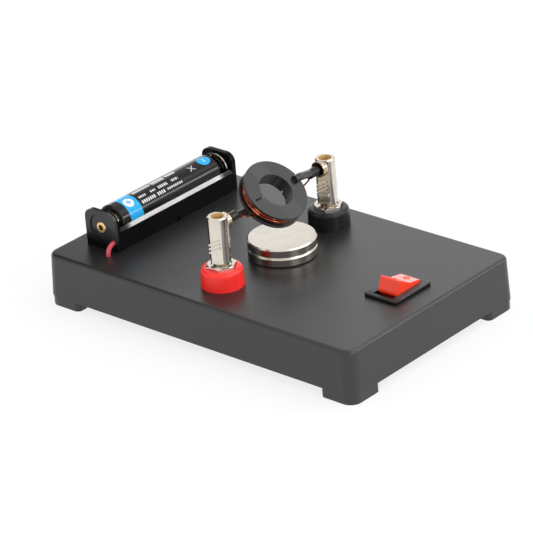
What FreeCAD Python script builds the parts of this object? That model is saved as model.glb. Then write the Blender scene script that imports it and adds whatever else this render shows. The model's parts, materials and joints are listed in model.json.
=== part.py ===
import FreeCAD, Part

import math
import os

import Sketcher

# Demonstration electric motor on a moulded tray: a two-pole coil rotor runs in two
# socket terminals above a pair of disc magnets, fed by one small cell through a rocker switch.
#
# Frame: millimetres, +Z up. The origin is on the surface that the feet stand on, under the
# middle of the tray. +X runs along the tray towards the switch, Y is the rotor's axis.

Vector = FreeCAD.Vector
Rotation = FreeCAD.Rotation
Placement = FreeCAD.Placement

doc = FreeCAD.newDocument("demonstration_motor")

# ---------------------------------------------------------------------------------------
# Driving dimensions, each written once
# ---------------------------------------------------------------------------------------

DIMENSIONS = {
    # tray
    "base_length": 117.0,
    "base_depth": 73.2,
    "base_height": 16.5,
    "foot_height": 3.0,
    "foot_length": 12.0,
    "foot_width": 4.6,
    "foot_inset": 0.25,
    "foot_corner": 1.6,
    "wall_thickness": 2.0,
    "top_thickness": 2.0,
    "wall_draft": 2.27,
    "base_corner": 3.7,
    "base_edge_round": 1.1,
    "cavity_corner": 1.8,
    "rib_depth": 1.5,
    "rib_thickness": 1.4,
    "rib_bite": 0.5,
    "cross_rib_x": 24.0,
    "long_rib_y": 10.0,
    # line of the rotor, its terminals and the switch
    "line_y": 0.6,
    "post_edge": 12.8,
    # terminal: insulating collar
    "collar_radius": 6.4,
    "collar_top_radius": 6.15,
    "collar_height": 5.7,
    "collar_round": 1.2,
    "collar_recess": 1.4,
    "spigot_radius": 4.0,
    "spigot_length": 1.6,
    "spigot_clearance": 0.1,
    # terminal: socket post
    "post_radius": 3.0,
    "post_top": 38.1,
    "post_flat": 2.4,
    "post_flat_turn": 20.0,
    "post_bevel": 0.45,
    "neck_radius": 2.35,
    "neck_length": 0.8,
    "socket_radius": 2.0,
    "socket_depth": 12.5,
    "stud_radius": 2.0,
    "stud_end": 8.6,
    "axle_running_gap": 0.06,
    "axle_hole_sink": 0.6,
    "axle_lip_radius": 2.45,
    "axle_lip_reach": 0.5,
    "thread_height": 29.4,
    "thread_pitch": 1.2,
    "thread_width": 3.4,
    "thread_ridge": 0.55,
    "thread_reach": 0.5,
    "thread_aside": 0.5,
    "thread_slope": 26.0,
    # terminal: fasteners
    "nut_across_flats": 8.0,
    "nut_thickness": 2.4,
    "nut_clearance": 0.08,
    "nut_bevel": 0.35,
    "washer_radius": 4.6,
    "washer_thickness": 1.0,
    "tag_thickness": 0.5,
    "tag_radius": 3.6,
    "tag_width": 3.0,
    "tag_length": 9.0,
    "lock_nut_flats": 7.0,
    "lock_nut_thickness": 3.2,
    "stud_clearance": 0.05,
    # magnets
    "magnet_radius": 10.3,
    "magnet_thickness": 2.85,
    "magnet_bevel": 0.4,
    "magnet_x": 1.4,
    "magnet_y": 1.7,
    # rotor
    "axis_height": 35.4,
    "rotor_rest_turn": 39.9,
    "bobbin_radius": 10.15,
    "bobbin_bore": 5.4,
    "hub_radius": 6.3,
    "bobbin_half_width": 2.43,
    "flange_thickness": 0.9,
    "flange_round": 0.25,
    "slit_width": 0.7,
    "slit_end": 8.9,
    "coil_radius": 9.35,
    "coil_gap": 0.03,
    "wire_turns": 4.0,
    "arm_radius": 1.2,
    "arm_root_y": 8.0,
    "arm_root_offset": 2.8,
    "arm_bend_y": 10.4,
    "arm_end_offset": 0.8,
    "journal_length": 5.35,
    "journal_end_gap": 2.25,
    "journal_radius": 1.0,
    "sleeve_radius": 1.45,
    "sleeve_gap": 0.02,
    "coil_lead_radius": 0.28,
    "coil_lead_aside": 2.3,
    "coil_lead_rise": 0.9,
    "coil_lead_bend": 2.2,
    "coil_lead_bend_rise": 0.6,
    "coil_lead_before_sleeve": 1.8,
    # battery box and cell
    "box_edge": 12.45,
    "box_y": 1.5,
    "box_width": 12.3,
    "box_wall_height": 7.2,
    "box_wall_bevel": 0.62,
    "box_wall_bevel_height": 1.15,
    "box_end_height": 12.0,
    "box_end_thickness": 1.6,
    "box_end_corner": 2.9,
    "box_end_recess_radius": 4.4,
    "box_end_recess_depth": 0.5,
    "cell_axis_height": 6.75,
    "cradle_radius": 5.4,
    "cell_radius": 5.25,
    "label_thickness": 0.25,
    "cell_length": 44.5,
    "spring_space": 3.2,
    "cap_radius": 1.9,
    "cap_height": 0.9,
    "cell_shoulder": 0.6,
    "cell_crimp": 0.5,
    "end_disc_radius": 4.2,
    "end_disc_height": 0.3,
    "eyelet_radius": 1.8,
    "eyelet_bore": 0.9,
    "eyelet_head": 0.4,
    "eyelet_hole": 1.25,
    "contact_plate": 0.4,
    "contact_plate_size": 7.0,
    "contact_boss_radius": 2.4,
    "contact_boss_height": 1.65,
    "contact_gap": 0.05,
    "spring_wire": 0.35,
    "spring_large_radius": 4.7,
    "spring_small_radius": 2.6,
    "spring_turns": 3.0,
    "box_screw_spacing": 26.0,
    "box_screw_head": 1.9,
    "box_screw_shank": 0.95,
    "box_screw_length": 5.0,
    "screw_boss_radius": 2.6,
    "screw_boss_depth": 3.0,
    "screw_hole_gap": 0.05,
    # leads
    "lead_radius": 0.7,
    "lead_hole_gap": 0.15,
    "lead_side": 4.9,
    "lead_exit_height": 3.1,
    "front_hole_share": 0.287,
    "back_hole_share": 0.42,
    "lead_drop": 0.05,
    "lead_inside": 2.2,
    "lead_aside": 10.0,
    "lead_past_washer": 3.0,
    "lead_past_rib": 4.0,
    "lead_to_switch": 12.0,
    "lead_beside_switch": 3.0,
    "lead_on_tab": 2.3,
    "lead_to_tag": 6.0,
    "lead_to_nut": 0.4,
    "lead_joint_gap": 0.05,
    # rocker switch
    "switch_edge": 13.55,
    "switch_y": 1.1,
    "bezel_width": 12.0,
    "bezel_length": 16.4,
    "bezel_height": 1.0,
    "bezel_corner": 1.1,
    "bezel_edge": 0.45,
    "switch_body_width": 9.5,
    "switch_body_length": 14.4,
    "switch_body_depth": 8.2,
    "switch_floor": 0.8,
    "switch_open_width": 7.1,
    "switch_open_length": 13.4,
    "cutout_gap": 0.1,
    "rocker_width": 6.8,
    "rocker_half_length": 4.95,
    "rocker_waist": 5.05,
    "rocker_waist_height": 1.0,
    "rocker_foot_length": 2.4,
    "rocker_below": 1.5,
    "rocker_crown": 4.9,
    "rocker_dip": 4.1,
    "rocker_edge_round": 0.5,
    "rocker_tilt": 20.0,
    "pivot_below_top": 1.2,
    "pivot_radius": 0.7,
    "pivot_reach": 4.3,
    "pivot_gap": 0.05,
    "plunger_radius": 0.8,
    "plunger_gap": 0.05,
    "plunger_tip": 4.3,
    "plunger_top": 0.0,
    "plunger_seat": 3.0,
    "rocker_spring_wire": 0.16,
    "rocker_spring_radius": 0.55,
    "rocker_spring_turns": 5.0,
    "blade_tilt": 7.0,
    "blade_length": 9.0,
    "blade_width": 3.0,
    "blade_thickness": 0.4,
    "blade_axis_height": 10.04,
    "blade_gap": 0.06,
    "tab_width": 4.8,
    "tab_thickness": 0.8,
    "tab_end": 3.7,
    "output_tab_y": 4.1,
}

sheet = doc.addObject("Spreadsheet::Sheet", "dims")
for row, (alias, number) in enumerate(DIMENSIONS.items(), start=1):
    sheet.set("A%d" % row, alias)
    sheet.set("B%d" % row, str(number))
    sheet.setAlias("B%d" % row, alias)
doc.recompute()


class Size:
    """A length or angle: its number now, and the sheet formula that it comes from."""

    def __init__(self, number, formula):
        self.number = number
        self.formula = formula

    def __add__(self, other):
        other = size_of(other)
        return Size(self.number + other.number, "(%s + %s)" % (self.formula, other.formula))

    def __radd__(self, other):
        return size_of(other) + self

    def __sub__(self, other):
        other = size_of(other)
        return Size(self.number - other.number, "(%s - %s)" % (self.formula, other.formula))

    def __rsub__(self, other):
        return size_of(other) - self

    def __mul__(self, other):
        other = size_of(other)
        return Size(self.number * other.number, "(%s * %s)" % (self.formula, other.formula))

    def __rmul__(self, other):
        return size_of(other) * self

    def __truediv__(self, other):
        other = size_of(other)
        return Size(self.number / other.number, "(%s / %s)" % (self.formula, other.formula))

    def __neg__(self):
        return Size(-self.number, "(0 - %s)" % self.formula)


def size_of(value):
    """A plain number becomes a Size with no sheet cell behind it."""
    if isinstance(value, Size):
        return value
    return Size(float(value), repr(float(value)))


def sine(angle):
    angle = size_of(angle)
    return Size(math.sin(math.radians(angle.number)), "sin(%s * 1 deg)" % angle.formula)


def cosine(angle):
    angle = size_of(angle)
    return Size(math.cos(math.radians(angle.number)), "cos(%s * 1 deg)" % angle.formula)


def tangent(angle):
    return sine(angle) / cosine(angle)


class Dimensions:
    """Gives each sheet cell as a Size, by its alias."""

    def __getattr__(self, alias):
        return Size(DIMENSIONS[alias], "dims." + alias)


D = Dimensions()

# ---------------------------------------------------------------------------------------
# Helpers that bind shapes to the sheet
# ---------------------------------------------------------------------------------------

ALONG_Y = Rotation(Vector(1, 0, 0), -90)
ALONG_X = Rotation(Vector(0, 1, 0), 90)
NO_TURN = Rotation()


def bind(target, path, size):
    target.setExpression(path, size_of(size).formula)


def place(target, x=0, y=0, z=0, turn=NO_TURN):
    """Gives an object its place, bound to the sheet, and a fixed turn."""
    spot = [size_of(part) for part in (x, y, z)]
    target.Placement = Placement(Vector(*[part.number for part in spot]), turn)
    for axis, part in zip("xyz", spot):
        bind(target, "Placement.Base." + axis, part)
    return target


def turn_about(target, axis, angle):
    """Turns a placed object about an axis by an angle from the sheet."""
    angle = size_of(angle)
    target.Placement = Placement(target.Placement.Base, Rotation(axis, angle.number))
    target.setExpression("Placement.Rotation.Angle", "%s * 1 deg" % angle.formula)
    return target


def new_body(label):
    body = doc.addObject("PartDesign::Body", label)
    body.Label = label
    return body


def sketch_on(body, role, offset=0, turn=0):
    """A sketch on one of the body's origin planes, moved along the plane's normal.

    A turn swings the plane about its own upright axis before it is moved.
    """
    sketch = body.newObject("Sketcher::SketchObject", body.Label + "_sketch")
    planes = [part for part in body.Origin.OriginFeatures if part.Role == role]
    sketch.AttachmentSupport = [(planes[0], "")]
    sketch.MapMode = "FlatFace"
    angle = size_of(turn)
    sketch.AttachmentOffset = Placement(Vector(), Rotation(Vector(0, 1, 0), angle.number))
    sketch.setExpression("AttachmentOffset.Rotation.Angle", "%s * 1 deg" % angle.formula)
    bind(sketch, "AttachmentOffset.Base.x", sine(angle) * offset)
    bind(sketch, "AttachmentOffset.Base.z", cosine(angle) * offset)
    return sketch


def outline(sketch, corners):
    """A closed outline of straight sides, each corner's place bound to the sheet."""
    corners = [(size_of(x), size_of(y)) for x, y in corners]
    first = sketch.GeometryCount
    count = len(corners)
    for index in range(count):
        start = Vector(corners[index][0].number, corners[index][1].number, 0)
        following = corners[(index + 1) % count]
        end = Vector(following[0].number, following[1].number, 0)
        sketch.addGeometry(Part.LineSegment(start, end), False)
    for index in range(count):
        following = first + (index + 1) % count
        sketch.addConstraint(Sketcher.Constraint("Coincident", first + index, 2, following, 1))
    for index, corner in enumerate(corners):
        locate(sketch, first + index, 1, corner)


def locate(sketch, geometry, point, spot):
    """Pins one point of a sketch at a place from the sheet."""
    for kind, value in zip(("DistanceX", "DistanceY"), spot):
        constraint = Sketcher.Constraint(kind, -1, 1, geometry, point, value.number)
        number = sketch.addConstraint(constraint)
        bind(sketch, "Constraints[%d]" % number, value)


def circle(sketch, x, y, radius):
    """A circle whose centre and radius are bound to the sheet."""
    spot = (size_of(x), size_of(y))
    radius = size_of(radius)
    centre = Vector(spot[0].number, spot[1].number, 0)
    shape = Part.Circle(centre, Vector(0, 0, 1), radius.number)
    number = sketch.addGeometry(shape, False)
    locate(sketch, number, 3, spot)
    constraint = sketch.addConstraint(Sketcher.Constraint("Radius", number, radius.number))
    bind(sketch, "Constraints[%d]" % constraint, radius)


def rectangle(sketch, x, y, width, height):
    """A rectangle about a centre."""
    outline(
        sketch,
        [
            (x - width / 2, y - height / 2),
            (x + width / 2, y - height / 2),
            (x + width / 2, y + height / 2),
            (x - width / 2, y + height / 2),
        ],
    )


def hexagon(sketch, x, y, across_flats):
    """A hexagon about a centre, with two corners along X."""
    half = across_flats / 2
    corner = across_flats / math.sqrt(3.0)
    outline(
        sketch,
        [
            (x + corner, y),
            (x + corner / 2, y + half),
            (x - corner / 2, y + half),
            (x - corner, y),
            (x - corner / 2, y - half),
            (x + corner / 2, y - half),
        ],
    )


def finish_feature(feature):
    doc.recompute()
    return feature


def pad(body, sketch, length, reverse=False, symmetric=False, draft=None):
    feature = body.newObject("PartDesign::Pad", body.Label + "_pad")
    feature.Profile = sketch
    feature.Reversed = reverse
    if symmetric:
        feature.SideType = "Symmetric"
    bind(feature, "Length", length)
    if draft is not None:
        bind(feature, "TaperAngle", draft)
    return finish_feature(feature)


def pocket(body, sketch, depth, reverse=False, symmetric=False, draft=None):
    """Cuts a sketch into the body, and stops if that takes nothing away."""
    before = body.Shape.Volume
    feature = body.newObject("PartDesign::Pocket", body.Label + "_pocket")
    feature.Profile = sketch
    feature.Reversed = reverse
    if symmetric:
        feature.SideType = "Symmetric"
    bind(feature, "Length", depth)
    if draft is not None:
        bind(feature, "TaperAngle", draft)
    finish_feature(feature)
    if not body.Shape.Volume < before:
        raise RuntimeError("a pocket in %s cuts nothing" % body.Label)
    return feature


def revolve(body, sketch, axis="V_Axis", cut=False):
    """Turns a sketch once round one of its own axes, to add or to cut."""
    kind = "PartDesign::Groove" if cut else "PartDesign::Revolution"
    feature = body.newObject(kind, body.Label + "_turned")
    feature.Profile = sketch
    feature.ReferenceAxis = (sketch, [axis])
    feature.Angle = 360.0
    return finish_feature(feature)


def edges_where(shape, wanted):
    return ["Edge%d" % (number + 1) for number, edge in enumerate(shape.Edges) if wanted(edge)]


def soften(body, size, wanted, kind="Fillet"):
    """Rounds or bevels the edges of the body's last feature that a test picks."""
    base = body.Tip
    names = edges_where(base.Shape, wanted)
    if not names:
        raise RuntimeError("no edge to soften in %s" % body.Label)
    feature = body.newObject("PartDesign::" + kind, body.Label + "_" + kind.lower())
    feature.Base = (base, names)
    bind(feature, "Radius" if kind == "Fillet" else "Size", size)
    return finish_feature(feature)


def near(value, wanted, slack=0.02):
    return abs(value - size_of(wanted).number) < slack


def is_upright(edge):
    """A straight edge that runs up the body, allowing for draft."""
    start = edge.tangentAt(edge.FirstParameter)
    end = edge.tangentAt(edge.LastParameter)
    return min(abs(start.z), abs(end.z)) > 0.99


def cylinder(radius, height, x=0, y=0, z=0, turn=NO_TURN):
    shape = doc.addObject("Part::Cylinder", "cylinder")
    bind(shape, "Radius", radius)
    bind(shape, "Height", height)
    return place(shape, x, y, z, turn)


def cone(bottom, top, height, x=0, y=0, z=0, turn=NO_TURN):
    shape = doc.addObject("Part::Cone", "cone")
    bind(shape, "Radius1", bottom)
    bind(shape, "Radius2", top)
    bind(shape, "Height", height)
    return place(shape, x, y, z, turn)


def block(length, width, height, x=0, y=0, z=0):
    """A box about a centre in X and Y, standing on z."""
    length, width = size_of(length), size_of(width)
    shape = doc.addObject("Part::Box", "block")
    bind(shape, "Length", length)
    bind(shape, "Width", width)
    bind(shape, "Height", height)
    return place(shape, x - length / 2, y - width / 2, z)


def joined(label, shapes):
    result = doc.addObject("Part::MultiFuse", label)
    result.Label = label
    result.Shapes = shapes
    doc.recompute()
    return result


def cut_from(label, base, tool):
    result = doc.addObject("Part::Cut", label)
    result.Label = label
    result.Base = base
    result.Tool = tool
    doc.recompute()
    return result


def grouped(label, shapes):
    """Several separate solids of one kind in one node."""
    result = doc.addObject("Part::Compound", label)
    result.Label = label
    result.Links = shapes
    doc.recompute()
    return result


def bent_wire(label, points, radius):
    """A round wire along straight runs joined by tangent arcs, as large as the runs allow."""
    points = [Vector(*[size_of(part).number for part in point]) for point in points]
    edges = []
    start = points[0]
    radii = []
    for before, corner, after in zip(points, points[1:], points[2:]):
        incoming = (corner - before).normalize()
        outgoing = (after - corner).normalize()
        half_turn = incoming.getAngle(outgoing) / 2
        reach = 0.45 * min((corner - before).Length, (after - corner).Length)
        radii.append(reach / math.tan(half_turn))
        arc_start = corner - incoming * reach
        arc_end = corner + outgoing * reach
        middle_way = (outgoing - incoming).normalize()
        from_corner = radii[-1] / math.cos(half_turn) - radii[-1]
        arc_middle = corner + middle_way * from_corner
        edges.append(Part.LineSegment(start, arc_start).toShape())
        edges.append(Part.Arc(arc_start, arc_middle, arc_end).toShape())
        start = arc_end
    edges.append(Part.LineSegment(start, points[-1]).toShape())
    path = Part.Wire(edges)
    section = Part.Wire([Part.makeCircle(size_of(radius).number, points[0], points[1] - points[0])])
    solid = path.makePipeShell([section], True, False)
    expected = math.pi * size_of(radius).number ** 2 * path.Length
    if abs(solid.Volume / expected - 1) > 0.01:
        raise RuntimeError("%s is not swept whole" % label)
    print("%s: length %.1f, bend radii %s" % (label, path.Length, [round(r, 1) for r in radii]))
    result = doc.addObject("Part::Feature", label)
    result.Label = label
    result.Shape = solid
    return result


# ---------------------------------------------------------------------------------------
# Places that several pieces share
# ---------------------------------------------------------------------------------------

top = D.base_height
under_top = top - D.top_thickness
wall_spread = (top - D.foot_height) * tangent(D.wall_draft)
inner_wall_y = D.base_depth / 2 - D.wall_thickness
box_x = D.box_edge - D.base_length / 2
switch_x = D.base_length / 2 - D.switch_edge
post_spacing = D.base_depth - D.post_edge * 2
red_y = D.line_y - post_spacing / 2
black_y = D.line_y + post_spacing / 2
journal_end = post_spacing / 2 - D.journal_end_gap
journal_start = journal_end - D.journal_length
cell_z = top + D.cell_axis_height
front_room = D.contact_plate + D.contact_boss_height + D.contact_gap
inner_length = front_room + D.cell_length + D.spring_space + D.contact_plate
box_length = inner_length + D.box_end_thickness * 2
box_front = D.box_y - box_length / 2
box_back = D.box_y + box_length / 2
inner_front = box_front + D.box_end_thickness
inner_back = box_back - D.box_end_thickness
cell_front = inner_front + front_room
cell_back = cell_front + D.cell_length
front_lead_x = box_x + D.lead_side
back_lead_x = box_x - D.lead_side
front_lead_y = box_front - (box_front + inner_wall_y) * D.front_hole_share
back_lead_y = box_back + (inner_wall_y - box_back) * D.back_hole_share
tag_bottom = under_top - D.washer_thickness - D.tag_thickness
lead_z = tag_bottom - D.lead_radius - D.lead_drop
pivot_z = top - D.pivot_below_top
axle_hole_radius = D.sleeve_radius + D.axle_running_gap
crown_radius = D.tab_thickness / 2
blade_rest = crown_radius + D.blade_gap
box_screws_y = (D.box_y - D.box_screw_spacing / 2, D.box_y + D.box_screw_spacing / 2)
NODES = []

# ---------------------------------------------------------------------------------------
# Tray
# ---------------------------------------------------------------------------------------


def base_shell():
    """Hollow drafted tray with corner feet, ribs, bosses and its holes."""
    body = new_body("base_shell")
    wall_height = top - D.foot_height
    plan = sketch_on(body, "XY_Plane", top)
    rectangle(plan, 0, 0, D.base_length, D.base_depth)
    pad(body, plan, wall_height, reverse=True, draft=D.wall_draft)
    add_feet(body)
    outer_x = D.base_length / 2 + wall_spread / 2
    outer_y = D.base_depth / 2 + wall_spread / 2
    soften(body, D.base_corner, lambda edge: upright_near(edge, outer_x, outer_y))
    inside = sketch_on(body, "XY_Plane", under_top)
    inner_x = D.base_length / 2 - D.wall_thickness
    inner_y = D.base_depth / 2 - D.wall_thickness
    rectangle(inside, 0, 0, inner_x * 2, inner_y * 2)
    pocket(body, inside, under_top - D.foot_height, draft=D.wall_draft)
    soften(body, D.cavity_corner, lambda edge: upright_near(edge, inner_x, inner_y))
    soften(body, D.base_edge_round, lambda edge: near(edge.BoundBox.ZMin, top))
    add_ribs(body)
    cut_tray_holes(body)
    NODES.append(body)


def upright_near(edge, x, y):
    """An upright edge of the walls whose middle is close to a corner of a plan."""
    middle = edge.CenterOfMass
    close = near(abs(middle.x), x, 0.6) and near(abs(middle.y), y, 0.6)
    return is_upright(edge) and close and middle.z > D.foot_height.number


def add_feet(body):
    """Four moulded feet, each bent round its corner of the tray."""
    corner_x = D.base_length / 2 + wall_spread - D.foot_inset
    corner_y = D.base_depth / 2 + wall_spread - D.foot_inset
    foot_block = sketch_on(body, "XY_Plane", D.foot_height)
    rectangle(foot_block, 0, 0, corner_x * 2, corner_y * 2)
    pad(body, foot_block, D.foot_height, reverse=True)

    def foot_upright(edge, x, y):
        middle = edge.CenterOfMass
        low = middle.z < D.foot_height.number
        return is_upright(edge) and low and near(abs(middle.x), x) and near(abs(middle.y), y)

    soften(
        body,
        D.base_corner - D.foot_inset,
        lambda edge: foot_upright(edge, corner_x, corner_y),
    )
    end_x = corner_x - D.foot_length
    end_y = corner_y - D.foot_length
    step_x = corner_x - D.foot_width
    step_y = corner_y - D.foot_width
    for half_x, half_y in ((end_x, corner_y + 1), (corner_x + 1, end_y), (step_x, step_y)):
        gap = sketch_on(body, "XY_Plane", 0)
        rectangle(gap, 0, 0, half_x * 2, half_y * 2)
        pocket(body, gap, D.foot_height, reverse=True)
    ends = ((end_x, corner_y), (end_x, step_y), (corner_x, end_y), (step_x, end_y))
    soften(
        body,
        D.foot_corner,
        lambda edge: any(foot_upright(edge, x, y) for x, y in ends),
    )


def add_ribs(body):
    """Shallow stiffening ribs and screw bosses under the top."""
    ribs = sketch_on(body, "XY_Plane", under_top)
    rib_length = (inner_wall_y + D.rib_bite) * 2
    for side in (-1, 1):
        rectangle(ribs, side * D.cross_rib_x, 0, D.rib_thickness, rib_length)
    pad(body, ribs, D.rib_depth, reverse=True)
    beams = sketch_on(body, "XY_Plane", under_top)
    for side in (-1, 1):
        rectangle(beams, 0, side * D.long_rib_y, D.cross_rib_x * 2, D.rib_thickness)
    pad(body, beams, D.rib_depth, reverse=True)
    bosses = sketch_on(body, "XY_Plane", under_top)
    for y in box_screws_y:
        circle(bosses, box_x, y, D.screw_boss_radius)
    pad(body, bosses, D.screw_boss_depth, reverse=True)


def cut_tray_holes(body):
    """Terminal holes, switch cut-out, lead holes and screw holes."""
    holes = sketch_on(body, "XY_Plane", top)
    for y in (red_y, black_y):
        circle(holes, 0, y, D.spigot_radius + D.spigot_clearance)
    rectangle(
        holes,
        switch_x,
        D.switch_y,
        D.switch_body_width + D.cutout_gap * 2,
        D.switch_body_length + D.cutout_gap * 2,
    )
    circle(holes, front_lead_x, front_lead_y, D.lead_radius + D.lead_hole_gap)
    circle(holes, back_lead_x, back_lead_y, D.lead_radius + D.lead_hole_gap)
    for y in box_screws_y:
        circle(holes, box_x, y, D.box_screw_shank + D.screw_hole_gap)
    pocket(body, holes, D.top_thickness + D.screw_boss_depth)


# ---------------------------------------------------------------------------------------
# Terminals
# ---------------------------------------------------------------------------------------


def terminal_collar(label, y):
    """Turned-looking insulating collar with a recess for the nut and a spigot in the tray."""
    body = new_body(label)
    profile = sketch_on(body, "XZ_Plane")
    outline(
        profile,
        [
            (D.stud_radius + D.stud_clearance, -D.spigot_length),
            (D.spigot_radius, -D.spigot_length),
            (D.spigot_radius, 0),
            (D.collar_radius, 0),
            (D.collar_top_radius, D.collar_height),
            (D.stud_radius + D.stud_clearance, D.collar_height),
        ],
    )
    revolve(body, profile)
    soften(
        body,
        D.collar_round,
        lambda edge: near(edge.BoundBox.ZMin, D.collar_height) and edge.BoundBox.XLength > 8,
    )
    recess = sketch_on(body, "XY_Plane", D.collar_height)
    hexagon(recess, 0, 0, D.nut_across_flats + D.nut_clearance * 2)
    pocket(body, recess, D.collar_recess)
    place(body, 0, y, top)
    NODES.append(body)


def terminal_post(label, y, half_turn):
    """Socket post with two flats, an undercut neck, ridges for a cap and the axle hole."""
    body = new_body(label)
    seat = top + D.collar_height - D.collar_recess
    neck_top = seat + D.nut_thickness + D.neck_length / 2
    neck_bottom = neck_top - D.neck_length
    profile = sketch_on(body, "XZ_Plane")
    outline(
        profile,
        [
            (0, D.stud_end),
            (D.stud_radius, D.stud_end),
            (D.stud_radius, seat),
            (D.post_radius, seat),
            (D.post_radius, neck_bottom),
            (D.neck_radius, neck_bottom),
            (D.neck_radius, neck_top),
            (D.post_radius, neck_top + D.post_bevel),
            (D.post_radius, D.post_top - D.post_bevel / 2),
            (D.post_radius - D.post_bevel / 2, D.post_top),
            (0, D.post_top),
        ],
    )
    revolve(body, profile)
    flats = sketch_on(body, "XY_Plane", D.post_top)
    for side in (-1, 1):
        outline(flats, flat_corners(side))
    pocket(body, flats, D.post_top - neck_bottom)
    add_cap_ridges(body)
    lip = sketch_on(body, "XZ_Plane", -(D.post_radius + D.axle_lip_reach))
    circle(lip, 0, D.axis_height, D.axle_lip_radius)
    pad(body, lip, D.post_radius + D.axle_lip_reach - D.socket_radius / 2)
    bore = sketch_on(body, "XY_Plane", D.post_top)
    circle(bore, 0, 0, D.socket_radius)
    pocket(body, bore, D.socket_depth)
    hole = sketch_on(body, "XZ_Plane", -(D.post_radius + D.axle_lip_reach))
    circle(hole, 0, D.axis_height, axle_hole_radius)
    pocket(body, hole, D.post_radius + D.axle_lip_reach, reverse=True)
    lip_face = D.post_radius + D.axle_lip_reach

    def hole_mouth(edge):
        at_face = near(edge.BoundBox.YMin, lip_face) and near(edge.BoundBox.YMax, lip_face)
        return at_face and near(edge.BoundBox.ZLength, axle_hole_radius * 2)

    soften(body, D.axle_hole_sink, hole_mouth, kind="Chamfer")
    turn = Rotation(Vector(0, 0, 1), 180 if half_turn else 0)
    place(body, 0, y, 0, turn)
    NODES.append(body)


def flat_corners(side):
    """One flat's waste, as a rectangle turned about the post's axis."""
    turn = D.post_flat_turn
    away = (sine(turn) * side, -side * cosine(turn))
    along = (cosine(turn), sine(turn))
    outer = D.post_radius + 1
    corners = []
    for reach, sideways in ((D.post_flat, -1), (D.post_flat, 1), (outer, 1), (outer, -1)):
        corners.append(
            (
                away[0] * reach + along[0] * sideways * outer,
                away[1] * reach + along[1] * sideways * outer,
            )
        )
    return corners


def add_cap_ridges(body):
    """Short slanted ridges on both flats, where a screw cap would grip."""
    rise = D.thread_width / 2 * tangent(D.thread_slope)
    for side in (-1, 1):
        ridges = sketch_on(body, "XZ_Plane", side * D.post_flat, D.post_flat_turn)
        left = -side * D.thread_aside - D.thread_width / 2
        right = -side * D.thread_aside + D.thread_width / 2
        for step in (-1, 0, 1):
            middle = D.thread_height + D.thread_pitch * step
            outline(
                ridges,
                [
                    (left, middle - side * rise - D.thread_ridge / 2),
                    (right, middle + side * rise - D.thread_ridge / 2),
                    (right, middle + side * rise + D.thread_ridge / 2),
                    (left, middle - side * rise + D.thread_ridge / 2),
                ],
            )
        pad(body, ridges, D.thread_reach, reverse=side < 0)


def hex_nut(label, y, z, across_flats, thickness, bore):
    """Hexagon nut with bevelled corners."""
    body = new_body(label)
    plan = sketch_on(body, "XY_Plane")
    hexagon(plan, 0, 0, across_flats)
    pad(body, plan, thickness)
    corner = across_flats / math.sqrt(3.0)
    trim = sketch_on(body, "XZ_Plane")
    outline(
        trim,
        [
            (corner - D.nut_bevel * 1.6, thickness),
            (corner + 1, thickness),
            (corner + 1, thickness - D.nut_bevel),
            (corner, thickness - D.nut_bevel),
        ],
    )
    revolve(body, trim, cut=True)
    hole = sketch_on(body, "XY_Plane", thickness)
    circle(hole, 0, 0, bore)
    pocket(body, hole, thickness)
    place(body, 0, y, z)
    return body


def terminal_washer(y):
    ring = cylinder(D.washer_radius, D.washer_thickness, 0, y, under_top - D.washer_thickness)
    bore = D.stud_radius + D.stud_clearance
    hole = cylinder(bore, D.washer_thickness, 0, y, under_top - D.washer_thickness)
    return cut_from("washer", ring, hole)


def solder_tag(y, side):
    """Flat ring with a tail along X for the lead."""
    eye = cylinder(D.tag_radius, D.tag_thickness, 0, y, tag_bottom)
    tail = block(D.tag_length, D.tag_width, D.tag_thickness, side * D.tag_length / 2, y, tag_bottom)
    whole = joined("tag_blank", [eye, tail])
    hole = cylinder(D.stud_radius + D.stud_clearance, D.tag_thickness, 0, y, tag_bottom)
    return cut_from("tag", whole, hole)


def terminals():
    terminal_collar("terminal_collar_red", red_y)
    terminal_collar("terminal_collar_black", black_y)
    terminal_post("terminal_post_red", red_y, False)
    terminal_post("terminal_post_black", black_y, True)
    seat = top + D.collar_height - D.collar_recess
    bore = D.post_radius + D.nut_clearance
    nuts = []
    for name, y in (("red", red_y), ("black", black_y)):
        nuts.append(hex_nut("collar_nut_" + name, y, seat, D.nut_across_flats, D.nut_thickness, bore))
    NODES.append(grouped("terminal_collar_nuts", nuts))
    NODES.append(grouped("terminal_washers", [terminal_washer(red_y), terminal_washer(black_y)]))
    NODES.append(grouped("solder_tags", [solder_tag(red_y, 1), solder_tag(black_y, -1)]))
    nuts = []
    nut_z = tag_bottom - D.lock_nut_thickness
    bore = D.stud_radius + D.stud_clearance
    for name, y in (("red", red_y), ("black", black_y)):
        nuts.append(hex_nut("lock_nut_" + name, y, nut_z, D.lock_nut_flats, D.lock_nut_thickness, bore))
    NODES.append(grouped("terminal_lock_nuts", nuts))


# ---------------------------------------------------------------------------------------
# Magnets
# ---------------------------------------------------------------------------------------


def magnet(label, level):
    """Disc magnet with bevelled rims."""
    body = new_body(label)
    profile = sketch_on(body, "XZ_Plane")
    outline(
        profile,
        [
            (0, 0),
            (D.magnet_radius - D.magnet_bevel, 0),
            (D.magnet_radius, D.magnet_bevel),
            (D.magnet_radius, D.magnet_thickness - D.magnet_bevel),
            (D.magnet_radius - D.magnet_bevel, D.magnet_thickness),
            (0, D.magnet_thickness),
        ],
    )
    revolve(body, profile)
    place(body, D.magnet_x, D.magnet_y, top + D.magnet_thickness * level)
    NODES.append(body)


# ---------------------------------------------------------------------------------------
# Rotor. Its own frame has Z along the coil's axis and Y along the shaft line.
# ---------------------------------------------------------------------------------------

ROTOR_TURN = Rotation(Vector(0, 1, 0), D.rotor_rest_turn.number)
HALF_ROUND = Rotation(Vector(1, 0, 0), 180)


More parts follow.
